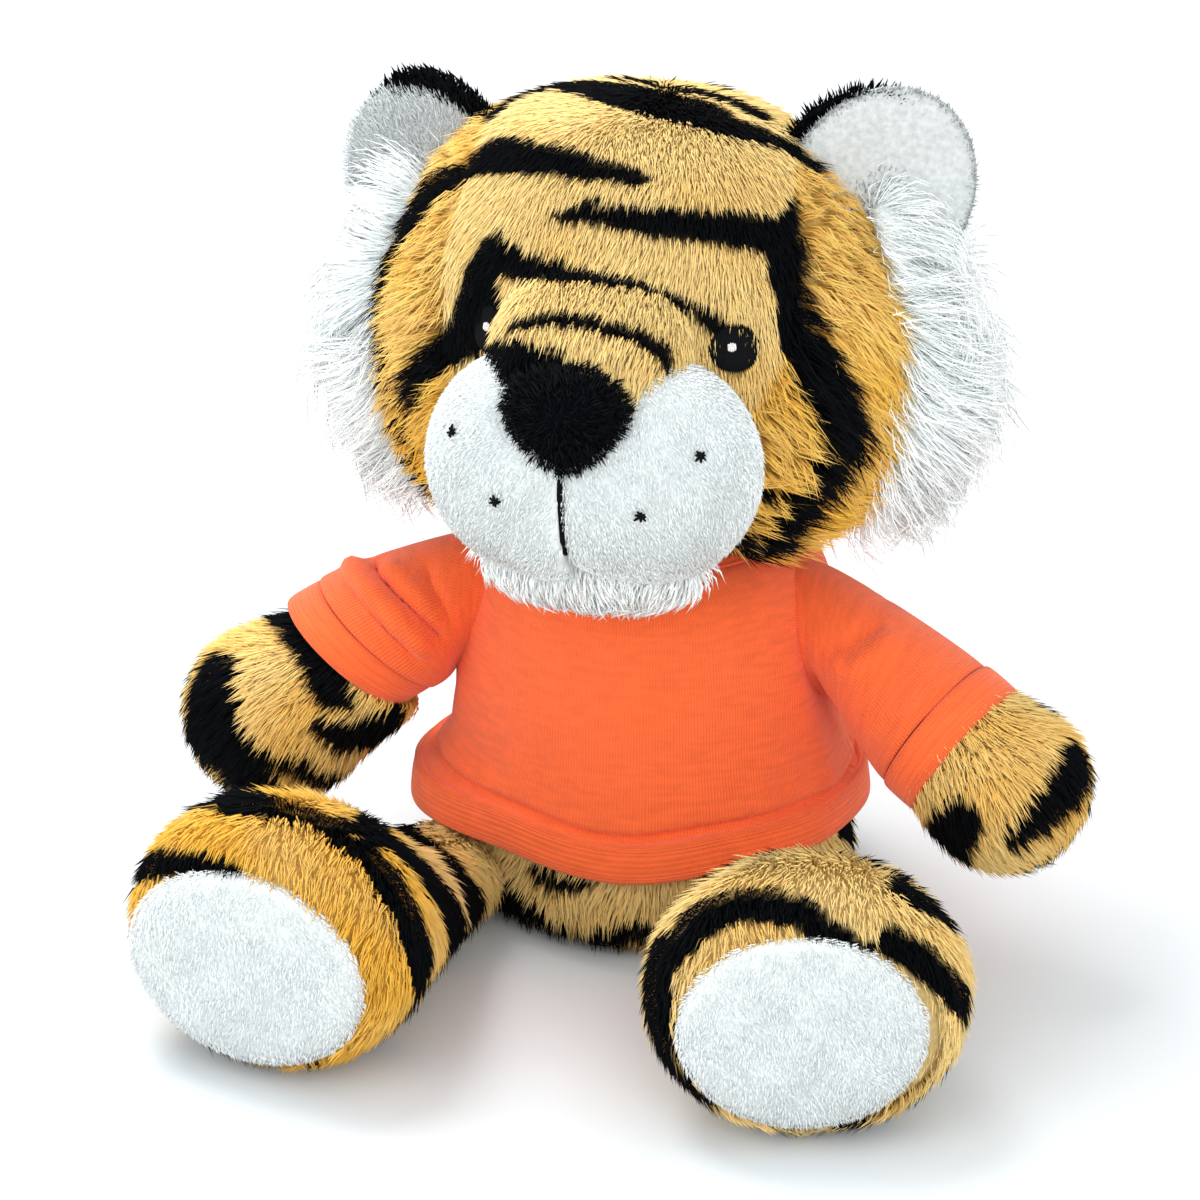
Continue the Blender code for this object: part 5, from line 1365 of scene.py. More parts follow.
def make_muzzle():
    kit = plush()
    head = shared["head"]
    shared["pads"] = []

    def open_side(spots, facing):
        return smooth_step(facing[:, 1], 0.6, 0.3) * (np.abs(spots[:, 0] - MUZZLE_SEAM) > 0.2 * MM)

    for side, word in SIDES:
        centre = PADS_CENTRE * (side, 1, 1)
        base = ball_object(f"muzzle_{word}_skin", centre, PADS_SIZE - 1.0 * MM, None, 60, 40)
        places = vertices(base)
        seam = MUZZLE_SEAM + side * 0.15 * MM
        places[:, 0] = np.maximum(places[:, 0], seam) if side > 0 else np.minimum(places[:, 0], seam)
        near = np.abs(places[:, 0] - MUZZLE_SEAM)
        for axis, fill, reach, low, high in MUZZLE_FILLS:
            share = smooth_step(centre[axis] - places[:, axis], low * PADS_SIZE[axis], high * PADS_SIZE[axis])
            places[:, axis] -= fill * np.exp(-((near / reach) ** 2)) * share
        move_vertices(base, places)
        clear_of(base, head, SKIN_GAP)
        shared["pads"].append(hull_of(base))
        comb = side * 0.5, -0.2, -1
        velour_piece(f"muzzle_{word}", base, "head", "white_plush", kit.white, comb, "velour", cover=open_side)

    def wedge(points):
        share = (points[:, 2] / NOSE_SIZE[2] + 1) / 2
        points[:, 0] *= 0.45 + 0.55 * np.sin(share * math.pi / 2)
        return points

    def from_nose(places):
        return places - NOSE_CENTRE - NOSE_COMB

    def beard(spots, facing):
        return smooth_step(facing[:, 1], 0.5, 0.1)

    nose = ball_object("nose_skin", NOSE_CENTRE, NOSE_SIZE - 0.9 * MM, None, 40, 26, wedge)
    # The nose is painted 1.2 times the black: a painted sheen, for the gloss its fibres lack.
    velour_piece("nose", nose, "head", "black_plush", kit.black * 1.2, from_nose, "nose", 2.0 * MM, 35)
    chin = ball_object("chin_skin", CHIN_CENTRE, CHIN_SIZE - 2.0 * MM, None, 36, 20)
    clear_of(chin, head, SKIN_GAP)
    # The chin is painted in the white raised to full brightness: painted light.
    velour_piece(
        "chin_tuft", chin, "head", "white_plush", kit.bright, (0, -0.6, -1), "chin", 5.4 * MM, 54, cover=beard
    )


# Embroidery


def stitch_row(name, stitches, width, material, slot, node):
    """A row of short stitches on the head, each a closed spindle with a place, a way and a length."""
    points, faces = [], []
    sides, girths = 6, ((-0.42, 0.75), (-0.2, 1.0), (0.2, 1.0), (0.42, 0.75))
    for place, way, length in stitches:
        way = unit(np.array(way))
        aside = unit(np.cross(way, UP if abs(way[2]) < 0.9 else (1, 0, 0)))
        top = np.cross(way, aside)
        first = len(points)
        for share, girth in girths:
            for n in range(sides):
                a = math.tau * n / sides
                spoke = (aside * math.cos(a) + top * math.sin(a)) * width / 2 * girth
                points.append(place + way * length * share + spoke)
        points += [place - way * length / 2, place + way * length / 2]
        tip = first + len(girths) * sides
        faces += quads(len(girths), sides, first=first)
        for low, high in zip(fan(first, tip, sides), fan(tip - sides, tip + 1, sides)):
            faces += [low, (high[1], high[0], high[2])]
    ride_on(mesh_object(name, points, faces, material), "head", slot, node)


def make_embroidery():
    dark = thread("black rayon embroidery thread", "#08090B", 0.0)
    pale = thread("white rayon embroidery thread", "#E9E4E2", 0.1)
    for side, word in SIDES:
        near, outward = eye_place(side)
        centre = near + outward * 1.5 * MM
        aside = unit(np.cross(UP, outward))
        top = np.cross(outward, aside)
        disc = []
        for n in range(EYE_STITCHES):
            across = EYE_RADIUS * (n - EYE_STITCHES // 2) / (EYE_STITCHES / 2)
            lift = 0.8 * MM * (1 - (across / EYE_RADIUS) ** 2)
            tall = math.sqrt(EYE_RADIUS**2 - across**2)
            disc.append((centre + aside * across + outward * lift, top, 2 * tall))
        stitch_row(f"eye_{word}_embroidery", disc, 0.75 * MM, dark, "black_plush", "eye_" + word)
        spot = centre + (top * 0.4 - aside * 0.8) * MM + outward * 1.1 * MM
        lengths = [(1.5 + 0.4 * (n in (1, 2))) * MM for n in range(4)]
        light = [(spot + aside * (n - 1.5) * 0.42 * MM, top, lengths[n]) for n in range(4)]
        node = "eye_highlight_" + word
        stitch_row(node + "_embroidery", light, 0.55 * MM, pale, "white_thread", node)
    make_mouth(dark)
    for (side, word), pad in zip(SIDES, shared["pads"]):
        for row in ("upper", "lower"):
            node = f"whisker_dot_{word}_{row}"
            low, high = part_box(node)
            near, facing, _, _ = pad.find_nearest(Vector((low + high) / 2))
            centre, facing = np.array(near), np.array(facing)
            aside = unit(np.cross(UP, facing))
            top = np.cross(facing, aside)
            star = []
            for n in range(4):
                angle = 0.5 + 0.75 * n + side
                way = aside * math.cos(angle) + top * math.sin(angle)
                lift = facing * (0.9 + 0.12 * n) * MM
                star.append((centre + lift + way * 0.25 * MM * (n - 1.5), way, (2.4 + 0.5 * (n % 2)) * MM))
            stitch_row(node + "_stitches", star, 0.6 * MM, dark, "black_plush", node)


def make_mouth(dark):
    low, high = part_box("mouth_stitch")
    across = (low[0] + high[0]) / 2
    places = []
    for height in np.linspace(high[2] - 0.5 * MM, low[2] + 0.5 * MM, 17):
        start = Vector((across + 0.4 * MM, low[1] - 60 * MM, height))
        hit = shared["pads"][0].ray_cast(start, Vector((0, 1, 0)))[0]
        if hit is not None:
            places.append(np.array(hit) - np.array((0.4 * MM, 1.2 * MM, 0)))
    ways = unit(unit(np.gradient(np.array(places), axis=0)) + np.array((0.35, 0, 0)))
    stitches = [(place, way, 2.4 * MM) for place, way in zip(places, ways)]
    stitch_row("mouth_embroidery", stitches, 1.5 * MM, dark, "black_thread", "mouth_stitch")


# Ears and ruffs


def make_ears():
    for side, word in SIDES:
        turn = Matrix.Rotation(side * EAR_TOE_OUT, 3, "Z") @ Matrix.Rotation(side * EAR_LEAN, 3, "Y")
        for part in ("front", "back"):
            make_ear_half(side, word, part, turn)


def make_ear_half(side, word, part, turn):
    """The white front of an ear, hollowed, or its black back, whose pile shows past the front's rim."""
    kit = plush()
    in_front = part == "front"
    sign = -1 if in_front else 1
    flat = np.array(turn)
    sewn = EAR_CENTRE * (side, 1, 1) + EAR_SEWN[side]
    less, shift = (EAR_FRONT if in_front else EAR_BACK)[side]
    size = EAR_SIZE - np.array(less) * MM
    middle = sewn + flat @ (np.array(shift) * (side, 1, 1) * MM)
    outward = flat @ np.array((0, sign, 0))
    root = sewn - flat @ np.array((0, 0, 12 * MM))

    def half(points):
        points[:, 1] = sign * np.maximum(sign * points[:, 1], 0.1 * MM)
        if in_front:
            girth = np.hypot(points[:, 0] / size[0], points[:, 2] / size[2])
            points[:, 1] += EAR_HOLLOW[side] * (1 - smooth_step(girth, 0.1, 0.8)) * (points[:, 1] < -0.2 * MM)
        return points

    def open_face(spots, facing):
        if in_front:
            return smooth_step(facing @ outward, -0.1, 0.2)
        local = (spots - middle) @ flat / size
        rim = smooth_step(np.hypot(local[:, 0], local[:, 2]), 0.72, 0.84)
        inner = smooth_step(local[:, 0] * side, 0.25, -0.05) * smooth_step(local[:, 2], -0.2, 0.1)
        return np.maximum(smooth_step(facing @ outward, 0.35, 0.6), inner * rim)

    def from_root(places):
        return places - root

    name = f"ear_{word}_{part}"
    base = ball_object(name + "_skin", middle, size, turn, 44, 30, half)
    clear_of(base, shared["head"], 0.2 * MM)
    # The ear fronts are painted 0.7 times the white: painted shade, as the lamps light them more than the rest.
    slot, colour = ("white_plush", kit.white * 0.7) if in_front else ("black_plush", kit.black)
    length, lean = (1.7 * MM, 50) if in_front else (2.3 * MM, 55)
    velour_piece(name, base, "head", slot, colour, from_root, "ear " + part, length, lean, open_face)


def make_ruffs():
    kit = plush()
    steps, sides = 44, 28
    share = np.linspace(0, 1, steps)
    angle = RUFF_ANGLES[0] + (RUFF_ANGLES[1] - RUFF_ANGLES[0]) * share
    swell = np.sqrt(np.maximum(0.0, 1 - (2 * share - 1) ** 4)) + 0.02
    turn = np.linspace(0, math.tau, sides, endpoint=False)
    spread = ((RUFF_SPREAD - 2 * MM) * swell)[:, None] * np.cos(turn)
    thick = ((RUFF_THICKNESS - 2.5 * MM) * swell)[:, None] * np.sin(turn)
    depthwise = np.tile((0.0, 1.0, 0.0), (steps, 1))
    # The ruffs are painted in the white raised to full brightness: painted light.
    paint = plain_paint(kit.bright)
    for side, word in SIDES:
        arm = np.stack((side * np.cos(angle), np.zeros(steps), np.sin(angle)), 1)
        path = RUFF_CENTRE + arm * (RUFF_RADIUS + RUFF_OUT[side] - 2.5 * MM)
        loops = path[:, None] + depthwise[:, None] * spread[..., None] + arm[:, None] * thick[..., None]
        base = lofted(f"ruff_{word}_skin", loops, kit.velour_backing)
        clear_of(base, shared["head"], 0.3 * MM)
        facing, places = normals(base), vertices(base)
        radial = unit((places - RUFF_CENTRE) * (1, 0.35, 1))
        lower = smooth_step(places[:, 2], 158 * MM, 105 * MM)
        way = unit(radial + np.array((0, 0.05, -1)) * (0.3 + 0.25 * lower)[:, None])
        comb = along_surface(way + 0.45 * swirls(places, 12 * MM), facing)
        length = kit.chosen.ruff_pile * (0.5 + 0.5 * lower) * (1 - 0.25 * smooth_step(lower, 0.8, 1.0))
        pile = leaning(facing, comb, length * RUFF_GROWTH[side], 64)
        set_colours(base, paint(places, facing))
        outside = smooth_step(dot(facing, radial), -0.6, -0.3)
        look = dict(LOOKS["ruff"], length=kit.chosen.ruff_pile, fibre=kit.long_fibre)
        fur = grow_pile(f"ruff_{word}_pile", base, pile, outside, paint, **look)
        finish_piece(base, "head", "white_plush", "ruff_" + word)
        finish_piece(fur, "head", "white_plush")


# Limbs


def arm_axes(side):
    """Sideways, upwards and along an arm."""
    along = unit(ARM_WAY * (side, 1, 1))
    lift_axis = unit(np.array((along[1], -along[0], 0)))
    return lift_axis, np.cross(along, lift_axis), along


def make_arms():
    kit = plush()
    for side, word in SIDES:
        rows = body_rows(ARM_ROWS, 50, ARM_LENGTH - PAW_INSET, PAW_RADIUS, PAW_RADIUS)[0]
        edge = SLEEVE_LENGTHS[side] + CUFF_HEIGHT
        freed = 5 * MM * smooth_step(rows[:, 0], edge - 3 * MM, edge + 5 * MM)
        squeezed = SLEEVE_RADII[side] - 2.4 * MM + freed
        squeezed -= 3.4 * MM * smooth_step(rows[:, 0], 28 * MM, 12 * MM)
        rows[:, 1:3] = np.minimum(rows[:, 1:3], squeezed[:, None] + ARM_INSETS[side])
        axes = arm_axes(side)
        origin = SHOULDER * (side, 1, 1) + ARM_SHIFTS[side]
        loops = ring_points(inset_rows(rows, ARM_INSETS[side]), 64, axes, origin)
        base = lofted(f"arm_{word}_stuffed_skin", loops, kit.backing)
        plump(base, 3 * MM)

        def rings(places):
            return (places - origin) @ axes[2], places, 17 * MM, 4.8 * MM, 2.0 + side

        def tone(places):
            return np.clip(0.4 + 0.25 * ripple(places, 20 * MM, 6.0), 0, 1)

        way, length = axes[2] + np.array((0, 0, -0.5)), kit.chosen.body_pile
        facing, places, pile, paint = printed_skin(
            base, way, (0.3, 20 * MM), length, 52, ARM_STRIPES[side], rings, tone
        )
        along = (places - origin) @ axes[2]
        cover = smooth_step(along - SLEEVE_TILTS[side] * (facing @ UP), edge - 6 * MM, edge - 4 * MM)
        fur = grow_pile(f"arm_{word}_pile", base, pile, cover, paint, length, **LOOKS["arm"])
        finish_piece(base, "arm_" + word, "orange_plush", f"arm_{word}_stuffing")
        finish_piece(fur, "arm_" + word, "orange_plush", f"arm_{word}_cover")


def leg_rows():
    rows, shares = body_rows(LEG_ROWS, 56, LEG_LENGTH, FOOT_HALF_WIDTH, FOOT_HALF_HEIGHT)
    rows[:, 2] = rows[:, 3] = shares[:, 2] * FOOT_HALF_HEIGHT
    front = rows[:, 0] > 0.84 * LEG_LENGTH
    rows[front, 3] = rows[front, 3] * 0.5 + np.interp(0.84 * LEG_LENGTH, rows[:, 0], rows[:, 2]) * 0.5
    rows[:, 4] = shares[:, 3] * FOOT_PITCH
    return rows


def make_legs():
    kit = plush()
    for side, word in SIDES:
        turn = np.array(Matrix.Rotation(side * LEG_SPLAY, 3, "Z"))
        axes = turn @ np.array((1, 0, 0)), np.array((0, 0, 1.0)), turn @ np.array((0, -1, 0))
        origin = HIP * (side, 1, 1) + LEG_SHIFTS[side]
        rows = leg_rows()
        inner = inset_rows(rows, SKIN_INSETS["leg"])
        inner[:, 3] = rows[:, 3]
        base = lofted(f"leg_{word}_stuffed_skin", ring_points(inner, 90, axes, origin), kit.backing)
        above_floor(base)
        plump(base)

        def rings(places):
            return (places - origin) @ axes[2], places, 18 * MM, 4.6 * MM, 0.7 + side

        def tone(places):
            foot = smooth_step((places - origin) @ axes[2], 45 * MM, 75 * MM)
            return np.clip(0.15 + 0.7 * foot * (side < 0) + 0.25 * ripple(places, 22 * MM, 9.0), 0, 1)

        full = kit.chosen.body_pile
        shorter = 0.25 * smooth_step((vertices(base) - origin) @ axes[2], 70 * MM, 92 * MM)
        way = axes[2] * 0.6 + np.array((0, 0, -0.8))
        facing, places, pile, paint = printed_skin(
            base, way, (0.4, 18 * MM), full * (0.95 - shorter), 52, LEG_STRIPES[side], rings, tone
        )
        along = (places - origin) @ axes[2]
        behind_sole = 1 - smooth_step(facing @ axes[2], 0.75, 0.92) * (along > 90 * MM)
        cover = smooth_step(along, 12 * MM, 18 * MM) * behind_sole * smooth_step(facing[:, 2], -0.97, -0.8)
        fur = grow_pile(f"leg_{word}_pile", base, pile, cover, paint, full, **LOOKS["leg"])
        finish_piece(base, "leg_" + word, "orange_plush", f"leg_{word}_stuffing")
        finish_piece(fur, "leg_" + word, "orange_plush", f"leg_{word}_cover")
        make_sole(side, word, axes, origin, rows[-1])


def make_sole(side, word, axes, origin, rim):
    shares = smooth_rows(SOLE_ROWS, 22)
    narrower, lifted, aside = SOLE_FIT[side]
    rows = np.zeros((len(shares), 5))
    rows[:, 0] = rim[0] + SOLE_CROWN * shares[:, 0]
    rows[:, 1] = (rim[1] - narrower) * shares[:, 1]
    rows[:, 2] = (rim[2] - 2.2 * MM) * shares[:, 1]
    rows[:, 3] = rim[3] + lifted
    rows[:, 4] = FOOT_PITCH
    base = lofted(f"leg_{word}_sole_skin", ring_points(rows, 72, axes, origin - axes[0] * aside))

    def front(spots, facing):
        return smooth_step(facing @ axes[2], -0.05, 0.15)

    name, colour, length = f"leg_{word}_sole", plush().white, 1.4 * MM
    velour_piece(name, base, "leg_" + word, "white_plush", colour, (0.2, 0, -1), "sole", length, cover=front)


# Tail


def make_tail():
    kit = plush()
    rows = smooth_rows(TAIL_PATH, 44)
    path = np.zeros((len(rows), 3))
    path[:, :2] = rows * TAIL_LENGTH
    path[:, 2] = -(TAIL_ROOT[2] - TAIL_RADIUS) * np.minimum(1, np.linspace(0, 3.2, len(rows)))
    path += TAIL_ROOT
    along = unit(np.gradient(path, axis=0))
    aside = unit(np.cross(UP, along))
    top = np.cross(along, aside)
    girth = np.full(len(rows), TAIL_RADIUS - 1.8 * MM)
    girth[-10:] *= np.sqrt(np.clip(1 - np.linspace(0, 1, 10) ** 2, 0, 1)) * 0.98 + 0.02
    turn = np.linspace(0, math.tau, 32, endpoint=False)[None, :, None]
    loops = path[:, None] + girth[:, None, None] * (aside[:, None] * np.cos(turn) + top[:, None] * np.sin(turn))
    base = lofted("tail_stuffed_skin", loops, kit.backing)
    reach = np.linspace(0, TAIL_LENGTH, len(path))

    def nearest(places):
        return np.array([np.argmin(((path - place) ** 2).sum(1)) for place in places])

    def paint(places, facing):
        reached = reach[nearest(places)]
        depth = ring_stripe(reached, places, 14 * MM, 4.4 * MM, 5.0)
        depth = np.maximum(depth, reached - TAIL_LENGTH * 0.86)
        return printed(kit, kit.ground(np.full((len(places), 1), 0.3)), depth, places)

    facing, places = normals(base), vertices(base)
    set_colours(base, paint(places, facing))
    near = nearest(places)
    length = kit.chosen.body_pile
    pile = leaning(facing, along_surface(along[near], facing), length, 60)
    cover = (reach[near] > 3 * MM) * smooth_step(facing[:, 2], -0.95, -0.7)
    fur = grow_pile("tail_pile", base, pile, cover, paint, length, **LOOKS["tail"])
    finish_piece(base, "tail", "orange_plush", "tail_stuffing")
    finish_piece(fur, "tail", "orange_plush", "tail_cover")


# T-shirt


def hem_dip(angle):
    """How far the hem sags in front."""
    away = np.abs((angle + math.pi / 2 + math.pi) % math.tau - math.pi)
    return np.where(away < HEM_DIP_ANGLE, HEM_DIP * (1 + np.cos(math.pi * away / HEM_DIP_ANGLE)) / 2, 0)


def hem_corner(angle, height, more=0.0):
    """How far the hem stands out at the toy's right side."""
    away = np.abs((angle - math.radians(198) + math.pi) % math.tau - math.pi)
    low = smooth_step(height, HEM_TOP + 9 * MM, HEM_TOP - 2 * MM)
    share = np.exp(-((away / math.radians(30)) ** 2)) * smooth_step(height, 75 * MM, 55 * MM)
    return share * (1.8 * MM + 3.5 * MM * low + more)


def torso_size(height):
    rows = torso_rows(60)
    order = np.argsort(rows[:, 0])
    return (np.interp(height, rows[order, 0], rows[order, k]) for k in (1, 2))


def shirt_surface(angle, height, out):
    width, depth = torso_size(height)
    return np.stack(((width + out) * np.cos(angle), (depth + out) * np.sin(angle), height), -1)


def armhole(side, count, grow=0.0, across=None):
    """The edge of an armhole on the shirt, or that edge moved out to one distance."""
    turn = np.linspace(0, math.tau, count, endpoint=False)
    y = ARMHOLE_CENTRE[0] + (ARMHOLE_SIZE[0] + grow) * np.cos(turn)
    z = ARMHOLE_CENTRE[1] + (ARMHOLE_SIZE[1] + grow) * np.sin(turn)
    x = np.full(count, across)
    if across is None:
        width, depth = torso_size(z)
        x = (width + SHIRT_EASE) * np.sqrt(np.maximum(0, 1 - (y / (depth + SHIRT_EASE)) ** 2))
    return turn, np.stack((side * x, y, z), 1)


def cut_armholes(piece):
    """Opens the sheet where the sleeves are sewn in."""
    cutters = []
    for side, _ in SIDES:
        loops = [armhole(side, 48, -2.0 * MM, across)[1] for across in (20 * MM, 60 * MM)]
        cutters.append(lofted("armhole", np.array(loops)))
        modifier(piece, "BOOLEAN", operation="DIFFERENCE", solver="EXACT", object=cutters[-1])
    settled(piece)
    discard(*cutters)


def sheet_object(name, grid, material, cloth, wall, wrap=False):
    """A sheet through a grid of points with a wall inside it, and a map of the flat cloth in metres."""
    rows, columns = grid.shape[:2]
    faces = quads(rows, columns, round_columns=wrap)
    data = new_mesh(name, grid.reshape(-1, 3), faces, material)
    flat = cloth.reshape(-1, 2)
    places = flat[corner_vertices(data)]
    if wrap:
        start = np.arange(len(faces)) % columns == columns - 1
        first = np.repeat(start, 4).reshape(-1, 4)
        first[:, (0, 3)] = False
        places[first.ravel(), 0] += flat[:columns, 0].max() * columns / (columns - 1)
    lay_map(data, "cloth", places)
    data.shade_smooth()
    made = place_object(name, data)
    modifier(made, "SOLIDIFY", thickness=wall, offset=-1)
    return settled(made)


def band_object(name, rings, material, length, height):
    """A closed band of doubled knit through rings of points that go round its section."""
    rows, columns = rings.shape[:2]
    data = new_mesh(name, rings.reshape(-1, 3), quads(rows, columns, round_rows=True), material)
    corner = np.tile(((0, 0), (1, 0), (1, 1), (0, 1)), (rows * columns, 1))
    cell = np.repeat(np.array([(c, r) for r in range(rows) for c in range(columns)]), 4, 0)
    lay_map(data, "cloth", (cell + corner) * (length / columns, 2 * height / rows))
    face_outwards(data)
    return place_object(name, data)


def band_section(count):
    """A turned hem in section, nearly square: its shares of the wall and of the height, point by point."""
    turn = np.linspace(0, math.tau, count, endpoint=False)
    wide = np.sign(np.cos(turn)) * np.abs(np.cos(turn)) ** 0.4
    return wide[:, None], np.sign(np.sin(turn))[:, None] * np.abs(np.sin(turn))[:, None] ** 0.7


def placed_creases(creases, hull):
    """Drag folds in pixels as lines on a hull, each with its width and height in metres."""
    return [
        (np.array([seen_place(x, y, hull) for x, y in route]), width * MM, height * MM)
        for route, width, height in creases
    ]


def crease(places, lines):
    """How far the drag folds lift or sink the cloth at each place."""
    total = np.zeros(len(places))
    for line, width, height in lines:
        nearest = np.full(len(places), 1.0)
        for start, end in zip(line, line[1:]):
            step = end - start
            share = np.clip(((places - start) @ step) / (step @ step), 0, 1)
            nearest = np.minimum(nearest, np.linalg.norm(places - start - share[:, None] * step, axis=1))
        ends = np.minimum(np.linalg.norm(places - line[0], axis=1), np.linalg.norm(places - line[-1], axis=1))
        total += height * np.exp(-((nearest / width) ** 2)) * smooth_step(ends, 0, 6 * MM)
    return total


def cloth_on(node):
    """Gives a sheet its slot and node, and says what cloth it was cut from."""
    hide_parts(node)


def make_shirt():
    chosen = bpy.context.scene.plush_tiger_shirt
    body = jersey("cotton single jersey", chosen, False)
    band = jersey("cotton jersey, turned hem", chosen, True)
    rows = torso_rows(40)
    rows[:, 1:3] += SHIRT_EASE
    guide = lofted("guide", ring_points(rows, 72))
    lines = placed_creases(SHIRT_CREASES, hull_of(guide))
    discard(guide)
    for name, start in (("shirt_front", math.pi), ("shirt_back", 0.0)):
        angle = np.linspace(start + SEAM_ANGLE, start + math.pi - SEAM_ANGLE, 100)[None, :]
        share = np.linspace(0, 1, 58)[:, None]
        dip = hem_dip(angle)
        low = HEM_TOP - 2.5 * MM - dip
        height = low + (SHIRT_TOP - low) * share**1.3
        flare = smooth_step(height, HEM_TOP - dip + 0.8 * MM, HEM_TOP - dip - 0.6 * MM)
        groove = GROOVE_DEPTH * np.exp(-(((height - HEM_TOP + dip - 0.9 * MM) / (0.9 * MM)) ** 2))
        out = SHIRT_EASE + 0.9 * MM * np.maximum(0, 1 - share * 2.2) + 1.2 * MM * flare - groove
        surface = shirt_surface(angle + 0 * share, height, out + hem_corner(angle, height, 2.4 * MM * flare))
        flat = surface.reshape(-1, 3)
        bulge = 1.5 * MM * np.sin(math.pi * np.clip(share * 4, 0, 1)) * np.exp(-share * 3) + 0 * angle
        waves = 0.5 * MM * ripple(flat, 38 * MM, 0.4) * np.sin(math.pi * (share + 0 * angle)).ravel()
        lift = crease(flat, lines) + waves + bulge.ravel()
        moved = flat + unit(flat * (1, 1, 0)) * lift[:, None]
        cloth = np.stack(((angle + 0 * share) * TORSO_HALF_WIDTH, height), -1)
        piece = sheet_object(name + "_jersey", moved.reshape(surface.shape), body, cloth, chosen.wall)
        cut_armholes(piece)
        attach(piece, "torso")
        cloth_on(name)
    make_bands(band)
    for side, word in SIDES:
        make_sleeve(side, word, body, band, chosen.wall)


def make_bands(material):
    wide, tall = band_section(22)
    angle = np.linspace(0, math.tau, 144, endpoint=False)[None, :]
    share = (tall + 1) / 2
    height = HEM_BOTTOM - hem_dip(angle) + HEM_HEIGHT * share
    wavy = 0.4 * MM * np.sin(5 * angle + 1) + 0.3 * MM * np.sin(9 * angle)
    out = 4.1 * MM + 1.4 * MM * wide + 0.2 * MM * (1 - share) + wavy + hem_corner(angle, height, 2.4 * MM)
    neck_height = SHIRT_TOP - 0.4 * MM + NECK_BAND_HEIGHT * share + 0 * angle
    neck_out = SHIRT_EASE + 1.1 * MM * wide + 0 * angle
    for node, tall, sewn, high, long, flat, area in (
        ("shirt_hem_band", height, out, HEM_HEIGHT, 262 * MM, (262 * MM, 2 * HEM_HEIGHT), 0.0026),
        ("shirt_neck_band", neck_height, neck_out, NECK_BAND_HEIGHT, 190 * MM, (150 * MM, 10 * MM), 0.00105),
    ):
        rings = shirt_surface(angle + 0 * share, tall, sewn)
        piece = band_object(node + "_jersey", rings, material, long, high)
        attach(piece, "torso")
        cloth_on(node)


def make_sleeve(side, word, body, band, wall):
    """A sleeve that leaves the armhole squarely and narrows into its cuff, and the cuff."""
    along = arm_axes(side)[2]
    origin = SHOULDER * (side, 1, 1)
    length = SLEEVE_LENGTHS[side]
    turn, hole = armhole(side, 96)
    spokes = hole - origin
    spokes = unit(spokes - np.outer(spokes @ along, along))
    upward = unit(UP - along * along[2])
    reach = length + SLEEVE_TILTS[side] * (spokes @ upward)
    middle = origin + upward * SLEEVE_LIFTS[side] + np.array((SLEEVE_SHIFTS[side], 0, 0))
    end = middle + along * reach[:, None] + spokes * SLEEVE_RADII[side]
    v = np.linspace(0, 1, 50)[:, None, None]
    leave, arrive = unit(hole * (1, 0.35, 0)) * SLEEVE_PULL, along * SLEEVE_PULL
    grid = hole * (2 * v**3 - 3 * v**2 + 1) + leave * (v**3 - 2 * v**2 + v)
    grid = grid + end * (3 * v**2 - 2 * v**3) + arrive * (v**3 - v**2)
    out = unit(grid - (origin + along * (length * v)))
    share = v[..., 0]
    lift = 0.5 * MM * np.sin(math.pi * share) - 0.9 * MM * np.exp(-((share / 0.03) ** 2)) + 0 * turn[None, :]
    cloth = np.stack((turn[None, :] * 15 * MM + 0 * share, share * length + 0 * turn[None, :]), -1)
    plain = sheet_object("plain_sleeve", grid, body, cloth, wall, wrap=True)
    lines = placed_creases(SLEEVE_CREASES[side], hull_of(plain))
    discard(plain)
    ends = np.clip(np.minimum(share, 1 - share) * 9, 0, 1)
    lift += crease(grid.reshape(-1, 3), lines).reshape(lift.shape) * ends
    grid = grid + out * lift[..., None] - leave * (0.17 * np.exp(-((v / 0.05) ** 2)))
    sleeve = sheet_object(f"sleeve_{word}_jersey", grid, body, cloth, wall, wrap=True)
    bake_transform(sleeve)
    cloth_on("sleeve_" + word)
    wide, tall = band_section(24)
    height = reach[None, :] + 0.2 * MM + CUFF_HEIGHT * (tall + 1) / 2
    radius = SLEEVE_RADII[side] - 0.1 * MM + 0.95 * MM * wide + 0 * turn[None, :]
    rings = middle + along * height[..., None] + spokes[None] * radius[..., None]
    cuff = band_object(f"sleeve_{word}_cuff_jersey", rings, band, 98 * MM, CUFF_HEIGHT)
    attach(cuff, "arm_" + word)
    cloth_on(f"sleeve_{word}_cuff")


# Stage


def seen_directly(tree):
    """1 on rays that show a surface straight, in a mirror or through glass, and 0 on those that only light."""
    path = add(tree, "ShaderNodeLightPath").outputs
    seen = {0: path["Is Camera Ray"], 1: path["Is Glossy Ray"]}
    seen = {0: add(tree, "ShaderNodeMath", seen, operation="MAXIMUM"), 1: path["Is Transmission Ray"]}
    return add(tree, "ShaderNodeMath", seen, operation="MAXIMUM")


